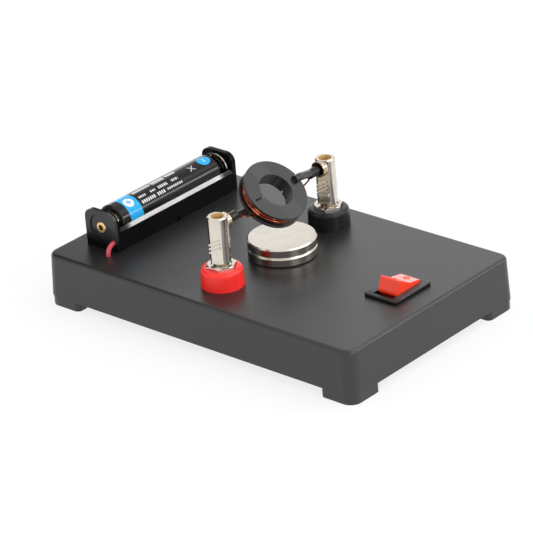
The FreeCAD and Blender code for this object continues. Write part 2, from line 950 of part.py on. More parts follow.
def place_on_rotor(target, flipped=False):
    """Puts a rotor piece, made at the origin, on the shaft line at its rest angle."""
    turn = ROTOR_TURN.multiply(HALF_ROUND) if flipped else ROTOR_TURN
    return place(target, 0, D.line_y, D.axis_height, turn)


def bobbin_half(label, flipped):
    """One moulding: a flange, half the hub and one arm. Two of them make the bobbin."""
    body = new_body(label)
    inner_face = D.bobbin_half_width - D.flange_thickness
    profile = sketch_on(body, "XZ_Plane")
    outline(
        profile,
        [
            (D.bobbin_bore, 0),
            (D.hub_radius, 0),
            (D.hub_radius, inner_face),
            (D.bobbin_radius, inner_face),
            (D.bobbin_radius, D.bobbin_half_width),
            (D.bobbin_bore, D.bobbin_half_width),
        ],
    )
    revolve(body, profile)
    soften(body, D.flange_round, lambda edge: near(edge.BoundBox.XLength, D.bobbin_radius * 2))
    stations = (
        (D.arm_root_y, D.arm_root_offset),
        (D.arm_bend_y, D.arm_root_offset),
        (journal_start, D.arm_end_offset),
    )
    sections = []
    for y, offset in stations:
        section = sketch_on(body, "XZ_Plane", -y)
        circle(section, 0, offset, D.arm_radius)
        sections.append(section)
    arm = body.newObject("PartDesign::AdditiveLoft", label + "_arm")
    arm.Profile = sections[0]
    arm.Sections = sections[1:]
    arm.Ruled = True
    finish_feature(arm)
    journal = sketch_on(body, "XZ_Plane", -journal_end)
    circle(journal, 0, 0, D.journal_radius)
    pad(body, journal, journal_end - journal_start)
    slit = sketch_on(body, "XY_Plane", D.bobbin_half_width)
    middle = -(D.slit_end + D.bobbin_bore - 1) / 2
    rectangle(slit, 0, middle, D.slit_width, D.slit_end - D.bobbin_bore + 1)
    pocket(body, slit, D.flange_thickness)
    place_on_rotor(body, flipped)
    NODES.append(body)


def coil_winding():
    """Wound coil between the flanges, its outer layer showing each turn."""
    body = new_body("coil_winding")
    half = D.bobbin_half_width - D.flange_thickness - D.coil_gap
    pitch = half * 2 / D.wire_turns
    wire = pitch / 2
    turns = int(D.wire_turns.number)
    core = D.coil_radius - wire
    corners = [(D.hub_radius + D.coil_gap, -half), (core, -half)]
    for turn in range(turns):
        start = -half + pitch * turn
        corners.append((core + wire * 0.71, start + wire * 0.29))
        corners.append((core + wire, start + wire))
        corners.append((core + wire * 0.71, start + wire * 1.71))
        corners.append((core, start + wire * 2))
    corners.append((D.hub_radius + D.coil_gap, half))
    profile = sketch_on(body, "XZ_Plane")
    outline(profile, corners)
    revolve(body, profile)
    place_on_rotor(body)
    NODES.append(body)


def contact_sleeve(label, flipped):
    """Tinned sleeve on the arm's end, which turns in the terminal and carries the current."""
    body = new_body(label)
    plan = sketch_on(body, "XZ_Plane", -journal_end)
    circle(plan, 0, 0, D.sleeve_radius)
    circle(plan, 0, 0, D.journal_radius + D.sleeve_gap)
    pad(body, plan, journal_end - journal_start)
    place_on_rotor(body, flipped)
    NODES.append(body)


def coil_lead(label, flipped):
    """Coil end, led beside the arm to its sleeve."""
    start = D.coil_radius + D.coil_gap
    end = (D.journal_radius + D.sleeve_radius) / 2 * sine(45)
    points = [
        (D.coil_lead_aside, start, D.coil_lead_rise),
        (D.coil_lead_aside, start + D.coil_lead_bend, D.coil_lead_bend_rise),
        ((D.coil_lead_aside + end) / 2, journal_start - D.coil_lead_before_sleeve, 0),
        (end, journal_start - D.sleeve_gap * 2, -end),
    ]
    wire = bent_wire(label, points, D.coil_lead_radius)
    place_on_rotor(wire, flipped)
    NODES.append(wire)


def rotor():
    bobbin_half("bobbin_half_front", False)
    bobbin_half("bobbin_half_back", True)
    coil_winding()
    contact_sleeve("contact_sleeve_front", False)
    contact_sleeve("contact_sleeve_back", True)
    coil_lead("coil_lead_front", False)
    coil_lead("coil_lead_back", True)


# ---------------------------------------------------------------------------------------
# Battery box and cell
# ---------------------------------------------------------------------------------------


def battery_box():
    """Open cradle with bevelled walls and two taller end plates."""
    body = new_body("battery_box")
    half = D.box_width / 2
    side = sketch_on(body, "XZ_Plane")
    outline(
        side,
        [
            (-half, 0),
            (half, 0),
            (half, D.box_wall_height - D.box_wall_bevel_height),
            (half - D.box_wall_bevel, D.box_wall_height),
            (-half + D.box_wall_bevel, D.box_wall_height),
            (-half, D.box_wall_height - D.box_wall_bevel_height),
        ],
    )
    pad(body, side, box_length, symmetric=True)
    for face, reverse in ((box_length / 2, True), (-box_length / 2, False)):
        end = sketch_on(body, "XZ_Plane", face)
        rectangle(end, 0, D.box_end_height / 2, D.box_width, D.box_end_height)
        pad(body, end, D.box_end_thickness, reverse=reverse)

    def end_shoulder(edge):
        along_y = edge.BoundBox.XLength < 0.01 and edge.BoundBox.ZLength < 0.01
        return along_y and near(edge.BoundBox.ZMin, D.box_end_height)

    soften(body, D.box_end_corner, end_shoulder)
    cradle = sketch_on(body, "XZ_Plane")
    circle(cradle, 0, D.cell_axis_height, D.cradle_radius)
    pocket(body, cradle, box_length - D.box_end_thickness * 2, symmetric=True)
    for face, reverse in ((box_length / 2, False), (-box_length / 2, True)):
        recess = sketch_on(body, "XZ_Plane", face)
        circle(recess, 0, D.cell_axis_height, D.box_end_recess_radius)
        pocket(body, recess, D.box_end_recess_depth, reverse=reverse)
    rivets = sketch_on(body, "XZ_Plane")
    circle(rivets, 0, D.cell_axis_height, D.eyelet_hole)
    pocket(body, rivets, box_length, symmetric=True)
    for face, x, reverse in (
        (box_length / 2, D.lead_side, False),
        (-box_length / 2, -D.lead_side, True),
    ):
        lead = sketch_on(body, "XZ_Plane", face)
        circle(lead, x, D.lead_exit_height, D.lead_radius + D.lead_hole_gap)
        pocket(body, lead, D.box_end_thickness + 2.5, reverse=reverse)
    floor = D.cell_axis_height - D.cradle_radius
    screws = sketch_on(body, "XY_Plane", D.cell_axis_height)
    for way in (-1, 1):
        circle(screws, 0, way * D.box_screw_spacing / 2, D.box_screw_shank + D.screw_hole_gap)
    pocket(body, screws, D.cell_axis_height)
    heads = sketch_on(body, "XY_Plane", D.cell_axis_height)
    for way in (-1, 1):
        circle(heads, 0, way * D.box_screw_spacing / 2, D.box_screw_head + D.screw_hole_gap)
    pocket(body, heads, D.cell_axis_height - floor / 2)
    place(body, box_x, D.box_y, top)
    NODES.append(body)


def box_screws():
    """Two screws from the cradle's floor into the tray's bosses."""
    floor = D.cell_axis_height - D.cradle_radius
    screws = []
    for y in box_screws_y:
        head_z = top + floor / 2
        head = cylinder(D.box_screw_head, floor / 2, box_x, y, head_z)
        shank = cylinder(D.box_screw_shank, D.box_screw_length, box_x, y, head_z - D.box_screw_length)
        drive = cylinder(D.box_screw_head / 3, floor / 4, box_x, y, head_z + floor / 4)
        screws.append(cut_from("screw", joined("screw_blank", [head, shank]), drive))
    NODES.append(grouped("battery_box_screws", screws))


def cell():
    """Single dry cell: can, sleeve label, raised cap and flat end disc."""
    sleeve_bore = D.cell_radius - D.label_thickness
    can_front = cell_front + D.cap_height
    can_back = cell_back - D.end_disc_height
    can = new_body("cell_can")
    profile = sketch_on(can, "XY_Plane")
    outline(
        profile,
        [
            (0, can_front),
            (sleeve_bore - D.cell_shoulder, can_front),
            (sleeve_bore, can_front + D.cell_shoulder),
            (sleeve_bore, can_back - D.cell_crimp),
            (sleeve_bore - D.cell_crimp, can_back),
            (0, can_back),
        ],
    )
    revolve(can, profile)
    place(can, box_x, 0, cell_z)
    NODES.append(can)
    label_start = can_front + D.cell_shoulder
    label = new_body("cell_label")
    wrap = sketch_on(label, "XZ_Plane", -label_start)
    circle(wrap, 0, 0, D.cell_radius)
    circle(wrap, 0, 0, sleeve_bore)
    pad(label, wrap, can_back - D.cell_crimp - label_start, reverse=True)
    place(label, box_x, 0, cell_z)
    NODES.append(label)
    cap = new_body("cell_positive_cap")
    nub = sketch_on(cap, "XY_Plane")
    outline(
        nub,
        [
            (0, cell_front),
            (D.cap_radius - D.cap_height / 3, cell_front),
            (D.cap_radius, cell_front + D.cap_height / 3),
            (D.cap_radius, can_front),
            (0, can_front),
        ],
    )
    revolve(cap, nub)
    place(cap, box_x, 0, cell_z)
    NODES.append(cap)
    disc = cylinder(D.end_disc_radius, D.end_disc_height, box_x, can_back, cell_z, ALONG_Y)
    disc.Label = "cell_negative_disc"
    NODES.append(disc)


def contact_plates():
    """Riveted contact plates: a bossed one for the cap, a flat one that seats the spring."""
    size = D.contact_plate_size
    low = cell_z - size / 2
    front = block(size, D.contact_plate, size, box_x, inner_front + D.contact_plate / 2, low)
    boss = cone(
        D.contact_boss_radius,
        D.contact_boss_radius - D.contact_plate,
        D.contact_boss_height,
        box_x,
        inner_front + D.contact_plate,
        cell_z,
        ALONG_Y,
    )
    plate = joined("front_contact_blank", [front, boss])
    hollow = cylinder(
        D.eyelet_bore + D.contact_gap * 2,
        D.contact_boss_height + D.contact_plate * 3,
        box_x,
        inner_front - D.contact_plate,
        cell_z,
        ALONG_Y,
    )
    NODES.append(cut_from("contact_plate_positive", plate, hollow))
    back = block(size, D.contact_plate, size, box_x, inner_back - D.contact_plate / 2, low)
    hole = cylinder(
        D.eyelet_bore + D.contact_gap * 2,
        D.contact_plate * 3,
        box_x,
        inner_back - D.contact_plate * 2,
        cell_z,
        ALONG_Y,
    )
    NODES.append(cut_from("contact_plate_negative", back, hole))


def eyelets():
    """Hollow rivets that hold the contact plates, their rolled heads outside."""
    made = []
    for outer_face, way in ((box_front + D.box_end_recess_depth, 1), (box_back - D.box_end_recess_depth, -1)):
        body = new_body("eyelet_%s" % ("front" if way > 0 else "back"))
        length = D.box_end_thickness - D.box_end_recess_depth
        profile = sketch_on(body, "XY_Plane")
        outline(
            profile,
            [
                (D.eyelet_bore, -D.eyelet_head),
                (D.eyelet_radius - D.eyelet_head / 2, -D.eyelet_head),
                (D.eyelet_radius, -D.eyelet_head / 2),
                (D.eyelet_radius, 0),
                (D.eyelet_hole - D.contact_gap, 0),
                (D.eyelet_hole - D.contact_gap, length),
                (D.eyelet_bore, length),
            ],
        )
        revolve(body, profile)
        turn = Rotation(Vector(0, 0, 1), 0 if way > 0 else 180)
        made.append(place(body, box_x, outer_face, cell_z, turn))
    NODES.append(grouped("contact_eyelets", made))


WIRE_SIDES = 8


def coil_spring(label, wire, turns, small, large, height, base=0.0):
    """Helical spring up Z from a base, its wire's centreline from a small radius to a large."""
    flare = math.atan2(large - small, height)
    slant = height / math.cos(flare)
    helix = Part.makeHelix(slant / turns, slant, small, math.degrees(flare))
    if not near(helix.BoundBox.ZLength, height):
        raise RuntimeError("%s does not fill its height" % label)
    helix.translate(Vector(0, 0, base))
    corners = []
    for step in range(WIRE_SIDES + 1):
        angle = 2 * math.pi * step / WIRE_SIDES
        reach = small + wire * math.cos(angle)
        corners.append(Vector(reach, 0, base + wire * math.sin(angle)))
    section = Part.makePolygon(corners)
    spring = doc.addObject("Part::Feature", label)
    spring.Label = label
    spring.Shape = Part.Wire(helix.Edges).makePipeShell([section], True, True)
    NODES.append(spring)
    return spring


def cell_spring():
    """Conical spring between the cell's flat end and its contact plate."""
    wire = D.spring_wire
    room = D.spring_space - (wire + D.contact_gap) * 2
    spring = coil_spring(
        "cell_spring",
        wire.number,
        D.spring_turns.number,
        D.spring_small_radius.number,
        D.spring_large_radius.number,
        room.number,
    )
    place(spring, box_x, cell_back + D.contact_gap + wire, cell_z, ALONG_Y)


# ---------------------------------------------------------------------------------------
# Leads under the tray
# ---------------------------------------------------------------------------------------


def leads():
    """Insulated leads, held against the ribs under the top."""
    tab_level = D.tab_end + D.lead_on_tab
    tab_edge = switch_x - D.tab_width / 2 - D.lead_joint_gap
    beside_switch = switch_x - D.switch_body_width / 2 - D.lead_beside_switch
    beside_rib = D.cross_rib_x + D.lead_past_rib
    exit_z = top + D.lead_exit_height
    run_front = red_y - D.washer_radius - D.lead_past_washer
    run_back = black_y + D.washer_radius + D.lead_past_washer
    soldered_end = D.lock_nut_flats / math.sqrt(3.0) + D.lead_to_nut
    red = [
        (front_lead_x, inner_front + D.lead_inside, exit_z),
        (front_lead_x, front_lead_y, exit_z),
        (front_lead_x, front_lead_y, lead_z),
        (front_lead_x + D.lead_aside, run_front, lead_z),
        (beside_rib, run_front, lead_z),
        (beside_switch, D.switch_y - D.lead_to_switch, lead_z),
        (beside_switch, D.switch_y, lead_z),
        (beside_switch, D.switch_y, tab_level),
        (tab_edge, D.switch_y, tab_level),
    ]
    NODES.append(bent_wire("lead_red", red, D.lead_radius))
    black = [
        (back_lead_x, inner_back - D.lead_inside, exit_z),
        (back_lead_x, back_lead_y, exit_z),
        (back_lead_x, back_lead_y, lead_z),
        (back_lead_x + D.lead_aside, run_back, lead_z),
        (-D.cross_rib_x, run_back, lead_z),
        (-D.tag_length - D.lead_to_tag, black_y, lead_z),
        (-soldered_end, black_y, lead_z),
    ]
    NODES.append(bent_wire("lead_black", black, D.lead_radius))
    output_y = D.switch_y + D.output_tab_y
    link = [
        (tab_edge, output_y, tab_level),
        (beside_switch, output_y, tab_level),
        (beside_switch, output_y, lead_z),
        (beside_rib, output_y - D.lead_to_switch * 0.75, lead_z),
        (D.tag_length + D.lead_to_tag, red_y, lead_z),
        (soldered_end, red_y, lead_z),
    ]
    NODES.append(bent_wire("lead_link", link, D.lead_radius))


# ---------------------------------------------------------------------------------------
# Rocker switch
# ---------------------------------------------------------------------------------------


def switch_housing():
    """Snap-in housing: bezel on the tray, open body below, pivot holes in its side walls."""
    body = new_body("switch_housing")
    bezel = sketch_on(body, "XY_Plane", top)
    rectangle(bezel, 0, 0, D.bezel_width, D.bezel_length)
    pad(body, bezel, D.bezel_height)
    soften(body, D.bezel_corner, is_upright)
    soften(body, D.bezel_edge, lambda edge: near(edge.BoundBox.ZMin, top + D.bezel_height))
    shaft = sketch_on(body, "XY_Plane", top)
    rectangle(shaft, 0, 0, D.switch_body_width, D.switch_body_length)
    pad(body, shaft, D.switch_body_depth, reverse=True)
    opening = sketch_on(body, "XY_Plane", top + D.bezel_height)
    rectangle(opening, 0, 0, D.switch_open_width, D.switch_open_length)
    pocket(body, opening, D.bezel_height + D.switch_body_depth - D.switch_floor)
    pivots = sketch_on(body, "YZ_Plane")
    circle(pivots, 0, pivot_z, D.pivot_radius + D.pivot_gap)
    pocket(body, pivots, (D.pivot_reach + D.pivot_gap) * 2, symmetric=True)
    slots = sketch_on(body, "XY_Plane", top)
    for y in (size_of(0), D.output_tab_y):
        slot_width = D.tab_width + D.pivot_gap * 2
        rectangle(slots, 0, y, slot_width, D.tab_thickness + D.pivot_gap * 2)
    pocket(body, slots, D.switch_body_depth)
    place(body, switch_x, D.switch_y, 0)
    NODES.append(body)


def place_on_rocker(target):
    """Puts a rocker piece, made level about the pivot, at its rest tilt."""
    place(target, switch_x, D.switch_y, pivot_z)
    return turn_about(target, Vector(1, 0, 0), -D.rocker_tilt)


def switch_rocker():
    """Rocker with a dished top, pivot pins and a bore for the sprung plunger."""
    body = new_body("switch_rocker")
    side = sketch_on(body, "YZ_Plane")
    outline(
        side,
        [
            (-D.rocker_half_length, D.rocker_crown),
            (-D.rocker_waist, D.rocker_waist_height),
            (-D.rocker_half_length, D.rocker_below / 4),
            (-D.rocker_foot_length, -D.rocker_below),
            (D.rocker_foot_length, -D.rocker_below),
            (D.rocker_half_length, D.rocker_below / 4),
            (D.rocker_waist, D.rocker_waist_height),
            (D.rocker_half_length, D.rocker_crown),
            (0, D.rocker_dip),
        ],
    )
    pad(body, side, D.rocker_width, symmetric=True)

    def crown_rim(edge):
        middle = edge.CenterOfMass
        along_x = edge.BoundBox.YLength < 0.01 and edge.BoundBox.ZLength < 0.01
        return along_x and middle.z > D.rocker_crown.number - 0.05

    soften(body, D.rocker_edge_round, crown_rim)
    pins = sketch_on(body, "YZ_Plane")
    circle(pins, 0, 0, D.pivot_radius)
    pad(body, pins, D.pivot_reach * 2, symmetric=True)
    bore = sketch_on(body, "XY_Plane", -D.rocker_below)
    circle(bore, 0, 0, D.plunger_radius + D.plunger_gap)
    pocket(body, bore, D.rocker_below + D.plunger_seat, reverse=True)
    place_on_rocker(body)
    NODES.append(body)


def plunger():
    """Sprung plunger that snaps the contact blade over."""
    body = new_body("switch_plunger")
    profile = sketch_on(body, "XZ_Plane")
    outline(
        profile,
        [
            (0, -D.plunger_tip),
            (D.plunger_radius / 2, -D.plunger_tip),
            (D.plunger_radius, -D.plunger_tip + D.plunger_radius / 2),
            (D.plunger_radius, D.plunger_top),
            (0, D.plunger_top),
        ],
    )
    revolve(body, profile)
    place_on_rocker(body)
    NODES.append(body)


def rocker_spring():
    """Small coil spring between the plunger and the end of its bore."""
    wire = D.rocker_spring_wire
    start = D.plunger_top + wire + D.contact_gap
    room = D.plunger_seat - wire - D.contact_gap - start
    radius = D.rocker_spring_radius.number
    turns = D.rocker_spring_turns.number
    sizes = (wire.number, turns, radius, radius, room.number, start.number)
    place_on_rocker(coil_spring("switch_spring", *sizes))


def contact_blade():
    """See-saw blade that rocks on the common tab's round crown."""
    body = new_body("switch_contact_blade")
    side = sketch_on(body, "YZ_Plane")
    rectangle(side, 0, blade_rest + D.blade_thickness / 2, D.blade_length, D.blade_thickness)
    pad(body, side, D.blade_width, symmetric=True)
    place(body, switch_x, D.switch_y, D.blade_axis_height)
    turn_about(body, Vector(1, 0, 0), D.blade_tilt)
    NODES.append(body)


def switch_tabs():
    """Common tab with a round crown on the blade's axis, output tab under one end."""
    common = new_body("switch_tab_common")
    side = sketch_on(common, "XZ_Plane")
    middle = (D.tab_end + D.blade_axis_height) / 2
    rectangle(side, 0, middle, D.tab_thickness, D.blade_axis_height - D.tab_end)
    pad(common, side, D.tab_width, symmetric=True)
    crown = sketch_on(common, "XZ_Plane")
    circle(crown, 0, D.blade_axis_height, crown_radius)
    pad(common, crown, D.tab_width, symmetric=True)
    place(common, switch_x, D.switch_y, 0, Rotation(Vector(0, 0, 1), 90))
    NODES.append(common)
    far_edge = D.output_tab_y + D.tab_thickness / 2
    drop = far_edge * tangent(D.blade_tilt) - blade_rest / cosine(D.blade_tilt)
    output = block(
        D.tab_width,
        D.tab_thickness,
        D.blade_axis_height - drop - D.blade_gap - D.tab_end,
        switch_x,
        D.switch_y + D.output_tab_y,
        D.tab_end,
    )
    output.Label = "switch_tab_output"
    NODES.append(output)


# ---------------------------------------------------------------------------------------
# Build, check and write
# ---------------------------------------------------------------------------------------

base_shell()
terminals()
magnet("magnet_lower", 0)
magnet("magnet_upper", 1)
rotor()
battery_box()
box_screws()
cell()
contact_plates()
eyelets()
cell_spring()
leads()
switch_housing()
switch_rocker()
plunger()
rocker_spring()
contact_blade()
switch_tabs()
doc.recompute()

for item in doc.Objects:
    if "Invalid" in item.State or "Error" in item.State:
        raise RuntimeError("%s did not recompute: %s" % (item.Label, item.State))
for node in NODES:
    shape = node.Shape
    if shape.isNull() or not shape.isValid() or not shape.Solids:
        raise RuntimeError("%s has no valid solid" % node.Label)

os.makedirs("parts", exist_ok=True)
for node in NODES:
    node.Shape.exportStep(os.path.join("parts", node.Label + ".step"))
print("%d nodes written" % len(NODES))
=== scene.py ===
"""Finishes, printed marks and fine pieces for a demonstration motor on a moulded tray.

The frame gives every solid at its real place, in metres. Each operator dresses one group of
pieces: it gives the solids their finishes and adds what is too fine to be one of them.
"""

import json
import math
import random

import bmesh
import bpy
from mathutils import Euler, Matrix, Vector


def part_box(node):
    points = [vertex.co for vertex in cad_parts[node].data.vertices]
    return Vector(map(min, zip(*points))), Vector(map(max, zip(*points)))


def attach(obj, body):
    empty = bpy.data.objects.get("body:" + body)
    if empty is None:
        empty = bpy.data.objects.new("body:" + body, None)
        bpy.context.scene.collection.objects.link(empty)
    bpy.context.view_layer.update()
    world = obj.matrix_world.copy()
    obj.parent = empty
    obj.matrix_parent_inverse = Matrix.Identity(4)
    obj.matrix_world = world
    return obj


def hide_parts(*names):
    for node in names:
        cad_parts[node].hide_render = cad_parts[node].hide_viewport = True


bl_info = {
    "name": "Demonstration motor",
    "version": (1, 0, 0),
    "blender": (4, 5, 0),
    "location": "3D View > Sidebar > Motor",
    "description": "Finishes and fine pieces for a small demonstration motor",
    "category": "Object",
}

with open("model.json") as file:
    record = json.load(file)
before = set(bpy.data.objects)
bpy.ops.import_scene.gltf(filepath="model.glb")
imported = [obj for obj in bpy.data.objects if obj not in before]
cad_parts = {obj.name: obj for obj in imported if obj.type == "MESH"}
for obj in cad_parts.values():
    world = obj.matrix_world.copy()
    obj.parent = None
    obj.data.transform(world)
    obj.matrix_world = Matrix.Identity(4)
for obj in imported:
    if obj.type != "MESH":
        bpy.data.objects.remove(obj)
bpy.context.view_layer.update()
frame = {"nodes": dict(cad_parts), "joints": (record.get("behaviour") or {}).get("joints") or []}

MM = 0.001
joints = {joint["name"]: joint for joint in frame["joints"]}
shaft = Vector(joints["rotor_spin"]["pos_m"])
rocker_pivot = Vector(joints["rocker_tilt"]["pos_m"])


def box_middle(node):
    low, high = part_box(node)
    return (low + high) / 2


# ---------------------------------------------------------------------------------------
# Settings that a user would change
# ---------------------------------------------------------------------------------------


def colour(name, description, default):
    return bpy.props.FloatVectorProperty(
        name=name,
        description=description,
        default=default,
        size=3,
        min=0.0,
        max=1.0,
        subtype="COLOR",
    )


def length(name, description, default):
    return bpy.props.FloatProperty(
        name=name,
        description=description,
        default=default * MM,
        precision=5,
        unit="LENGTH",
        subtype="DISTANCE",
    )


def share(name, description, default):
    return bpy.props.FloatProperty(
        name=name,
        description=description,
        default=default,
        min=0.0,
        max=1.0,
        subtype="FACTOR",
    )


def turn(name, description, default):
    return bpy.props.FloatProperty(
        name=name,
        description=description,
        default=math.radians(default),
        unit="ROTATION",
        subtype="ANGLE",
    )


def power(name, description, default):
    return bpy.props.FloatProperty(
        name=name, description=description, default=default, min=0.0, unit="POWER"
    )


def count(name, description, default):
    return bpy.props.IntProperty(name=name, description=description, default=default, min=1)


class MotorFinish(bpy.types.PropertyGroup):
    """Colours of the motor's finishes, with those of its painted sheen, shade and highlights."""

    shell: colour("Tray", "Moulded tray", (0.0125, 0.0125, 0.013))
    holder: colour("Holder", "Glossy battery holder", (0.0042, 0.0042, 0.0042))
    # Painted sheen: a grey that stands in for the bright reflection on bevels and faces of dark
    # mouldings.
    painted_sheen: colour("Painted sheen", "Painted sheen on faces of dark mouldings", (0.11, 0.11, 0.11))
    collar_red: colour("Red collar", "Collar of the red terminal", (0.90, 0.022, 0.016))
    collar_black: colour("Black collar", "Collar of the black terminal", (0.007, 0.007, 0.007))
    bobbin: colour("Bobbin", "Matt moulded bobbin and its arms", (0.045, 0.046, 0.045))
    enamel: colour("Enamelled wire", "Copper under red enamel", (0.20, 0.030, 0.014))
    # Painted shade: dark brown for the winding's core, seen between the turns.
    core_shade: colour("Coil core shade", "Painted shade under the outer turns", (0.080, 0.022, 0.014))
    sleeve: colour("Contact sleeve", "Dark tinned sleeves of the shaft", (0.034, 0.034, 0.031))
    arm: colour("Arms", "Dark coat on the arms of the bobbin", (0.014, 0.014, 0.015))
    spring: colour("Springs", "Drawn spring wire", (0.17, 0.16, 0.15))
    nickel: colour("Nickel", "Nickel plate", (0.70, 0.655, 0.58))
    brass: colour("Brass", "Bare brass", (0.90, 0.66, 0.32))
    steel: colour("Steel", "Zinc plated steel", (0.62, 0.62, 0.60))
    tin: colour("Tin", "Tinned surfaces and solder", (0.70, 0.70, 0.68))
    fibre: colour("Fibre", "Fibre washers", (0.30, 0.10, 0.045))
    jacket: colour("Cell jacket", "Printed sleeve of the cell", (0.0075, 0.0075, 0.0065))
    band: colour("Cell band", "Coloured band on the sleeve", (0.018, 0.40, 0.78))
    print_white: colour("Cell print", "White print on the sleeve", (0.80, 0.80, 0.80))
    lead_red: colour("Red lead", "Red lead insulation", (0.60, 0.070, 0.095))
    lead_black: colour("Black lead", "Black lead insulation", (0.018, 0.018, 0.018))
    bezel: colour("Switch bezel", "Switch housing", (0.006, 0.006, 0.006))
    rocker: colour("Rocker", "Red rocker of the switch", (0.95, 0.045, 0.012))
    floor: colour("Floor", "Pale floor", (0.93, 0.93, 0.93))


class MotorSizes(bpy.types.PropertyGroup):
    """Sizes of the fine pieces."""

    rest_turn: turn("Rotor turn", "Turn of the ring about its shaft at rest", 39.9)
    coil_radius: length("Coil radius", "Outside of the winding", 9.35)
    coil_width: length("Coil width", "Winding between the flanges", 3.0)
    hub_radius: length("Hub radius", "Inside of the winding", 6.33)
    turns_across: count("Turns", "Turns side by side in the outer layer", 3)
    rocker_turn: turn("Rocker tilt", "Tilt of the rocker at rest", 20.0)
    rocker_crown: length("Rocker crown", "Height of the rocker's ends over its pivot", 4.9)
    rocker_dip: length("Rocker dip", "Height of the rocker's middle over its pivot", 4.1)
    rocker_half: length("Rocker half", "From the rocker's middle to its end", 4.95)
    socket_radius: length("Socket bore", "Bore of the socket terminals", 2.0)


class MotorStage(bpy.types.PropertyGroup):
    """Camera and lamps."""

    azimuth: turn("Azimuth", "Camera's place round the motor", 42.807)
    elevation: turn("Elevation", "Camera's height over the horizon", 26.6)
    distance: length("Distance", "From the camera to the middle of the feet's plane", 941.9)
    roll: turn("Roll", "Camera's roll", -4.513)
    target: bpy.props.FloatVectorProperty(
        name="Target",
        description="Point in the middle of the picture",
        default=(-0.0002095, -0.0041394, 0.0140625),
        precision=5,
        size=3,
        unit="LENGTH",
        subtype="XYZ",
    )
    lens: bpy.props.FloatProperty(
        name="Lens", description="Focal length on a 36 mm sensor", default=216.0, unit="CAMERA"
    )
    key: power("Key lamp", "Large soft lamp over the motor", 3.2)
    right: power("Right lamp", "Soft lamp on the switch's side", 2.7)
    back: power("Back lamp", "Low soft lamp behind the holder", 0.55)
    edge: power("Edge lamp", "Small lamp that draws the edges behind the switch", 1.5)
    surround: share("Surround", "Brightness of the room on matt surfaces", 0.92)


SETTINGS = {
    "motor_finish": MotorFinish,
    "motor_sizes": MotorSizes,
    "motor_stage": MotorStage,
}

# ---------------------------------------------------------------------------------------
# Materials
# ---------------------------------------------------------------------------------------


class Field:
    """A number that varies over a surface, worked out by Math nodes."""

    def __init__(self, tree, socket):
        self.tree = tree
        self.socket = socket

    def math(self, operation, *others):
        node = self.tree.nodes.new("ShaderNodeMath")
        node.operation = operation
        for index, value in enumerate((self,) + others):
            if isinstance(value, Field):
                self.tree.links.new(value.socket, node.inputs[index])
            else:
                node.inputs[index].default_value = value
        return Field(self.tree, node.outputs[0])

    def __add__(self, other):
        return self.math("ADD", other)

    def __sub__(self, other):
        return self.math("SUBTRACT", other)

    def __mul__(self, other):
        return self.math("MULTIPLY", other)

    def __truediv__(self, other):
        return self.math("DIVIDE", other)

    def below(self, limit, edge):
        """1 under a limit and 0 over it, with a soft edge of that width."""
        return ramp(self, limit + edge / 2, limit - edge / 2)

    def within(self, low, high, edge):
        """1 between two limits, with soft edges."""
        half = (high - low) / 2
        return (self - (low + half)).math("ABSOLUTE").below(half, edge)

    def either(self, other):
        return self.math("MAXIMUM", other)

    def both(self, other):
        return self.math("MINIMUM", other)

    def reach(self, other):
        """Distance from the line where this coordinate and another are both zero."""
        return (self * self + other * other).math("SQRT")


def ramp(field, start, end, low=0.0, high=1.0):
    """Goes from low to high as the field goes from start to end, and stays there."""
    node = field.tree.nodes.new("ShaderNodeMapRange")
    node.inputs["From Min"].default_value = start
    node.inputs["From Max"].default_value = end
    node.inputs["To Min"].default_value = low
    node.inputs["To Max"].default_value = high
    field.tree.links.new(field.socket, node.inputs["Value"])
    return Field(field.tree, node.outputs["Result"])


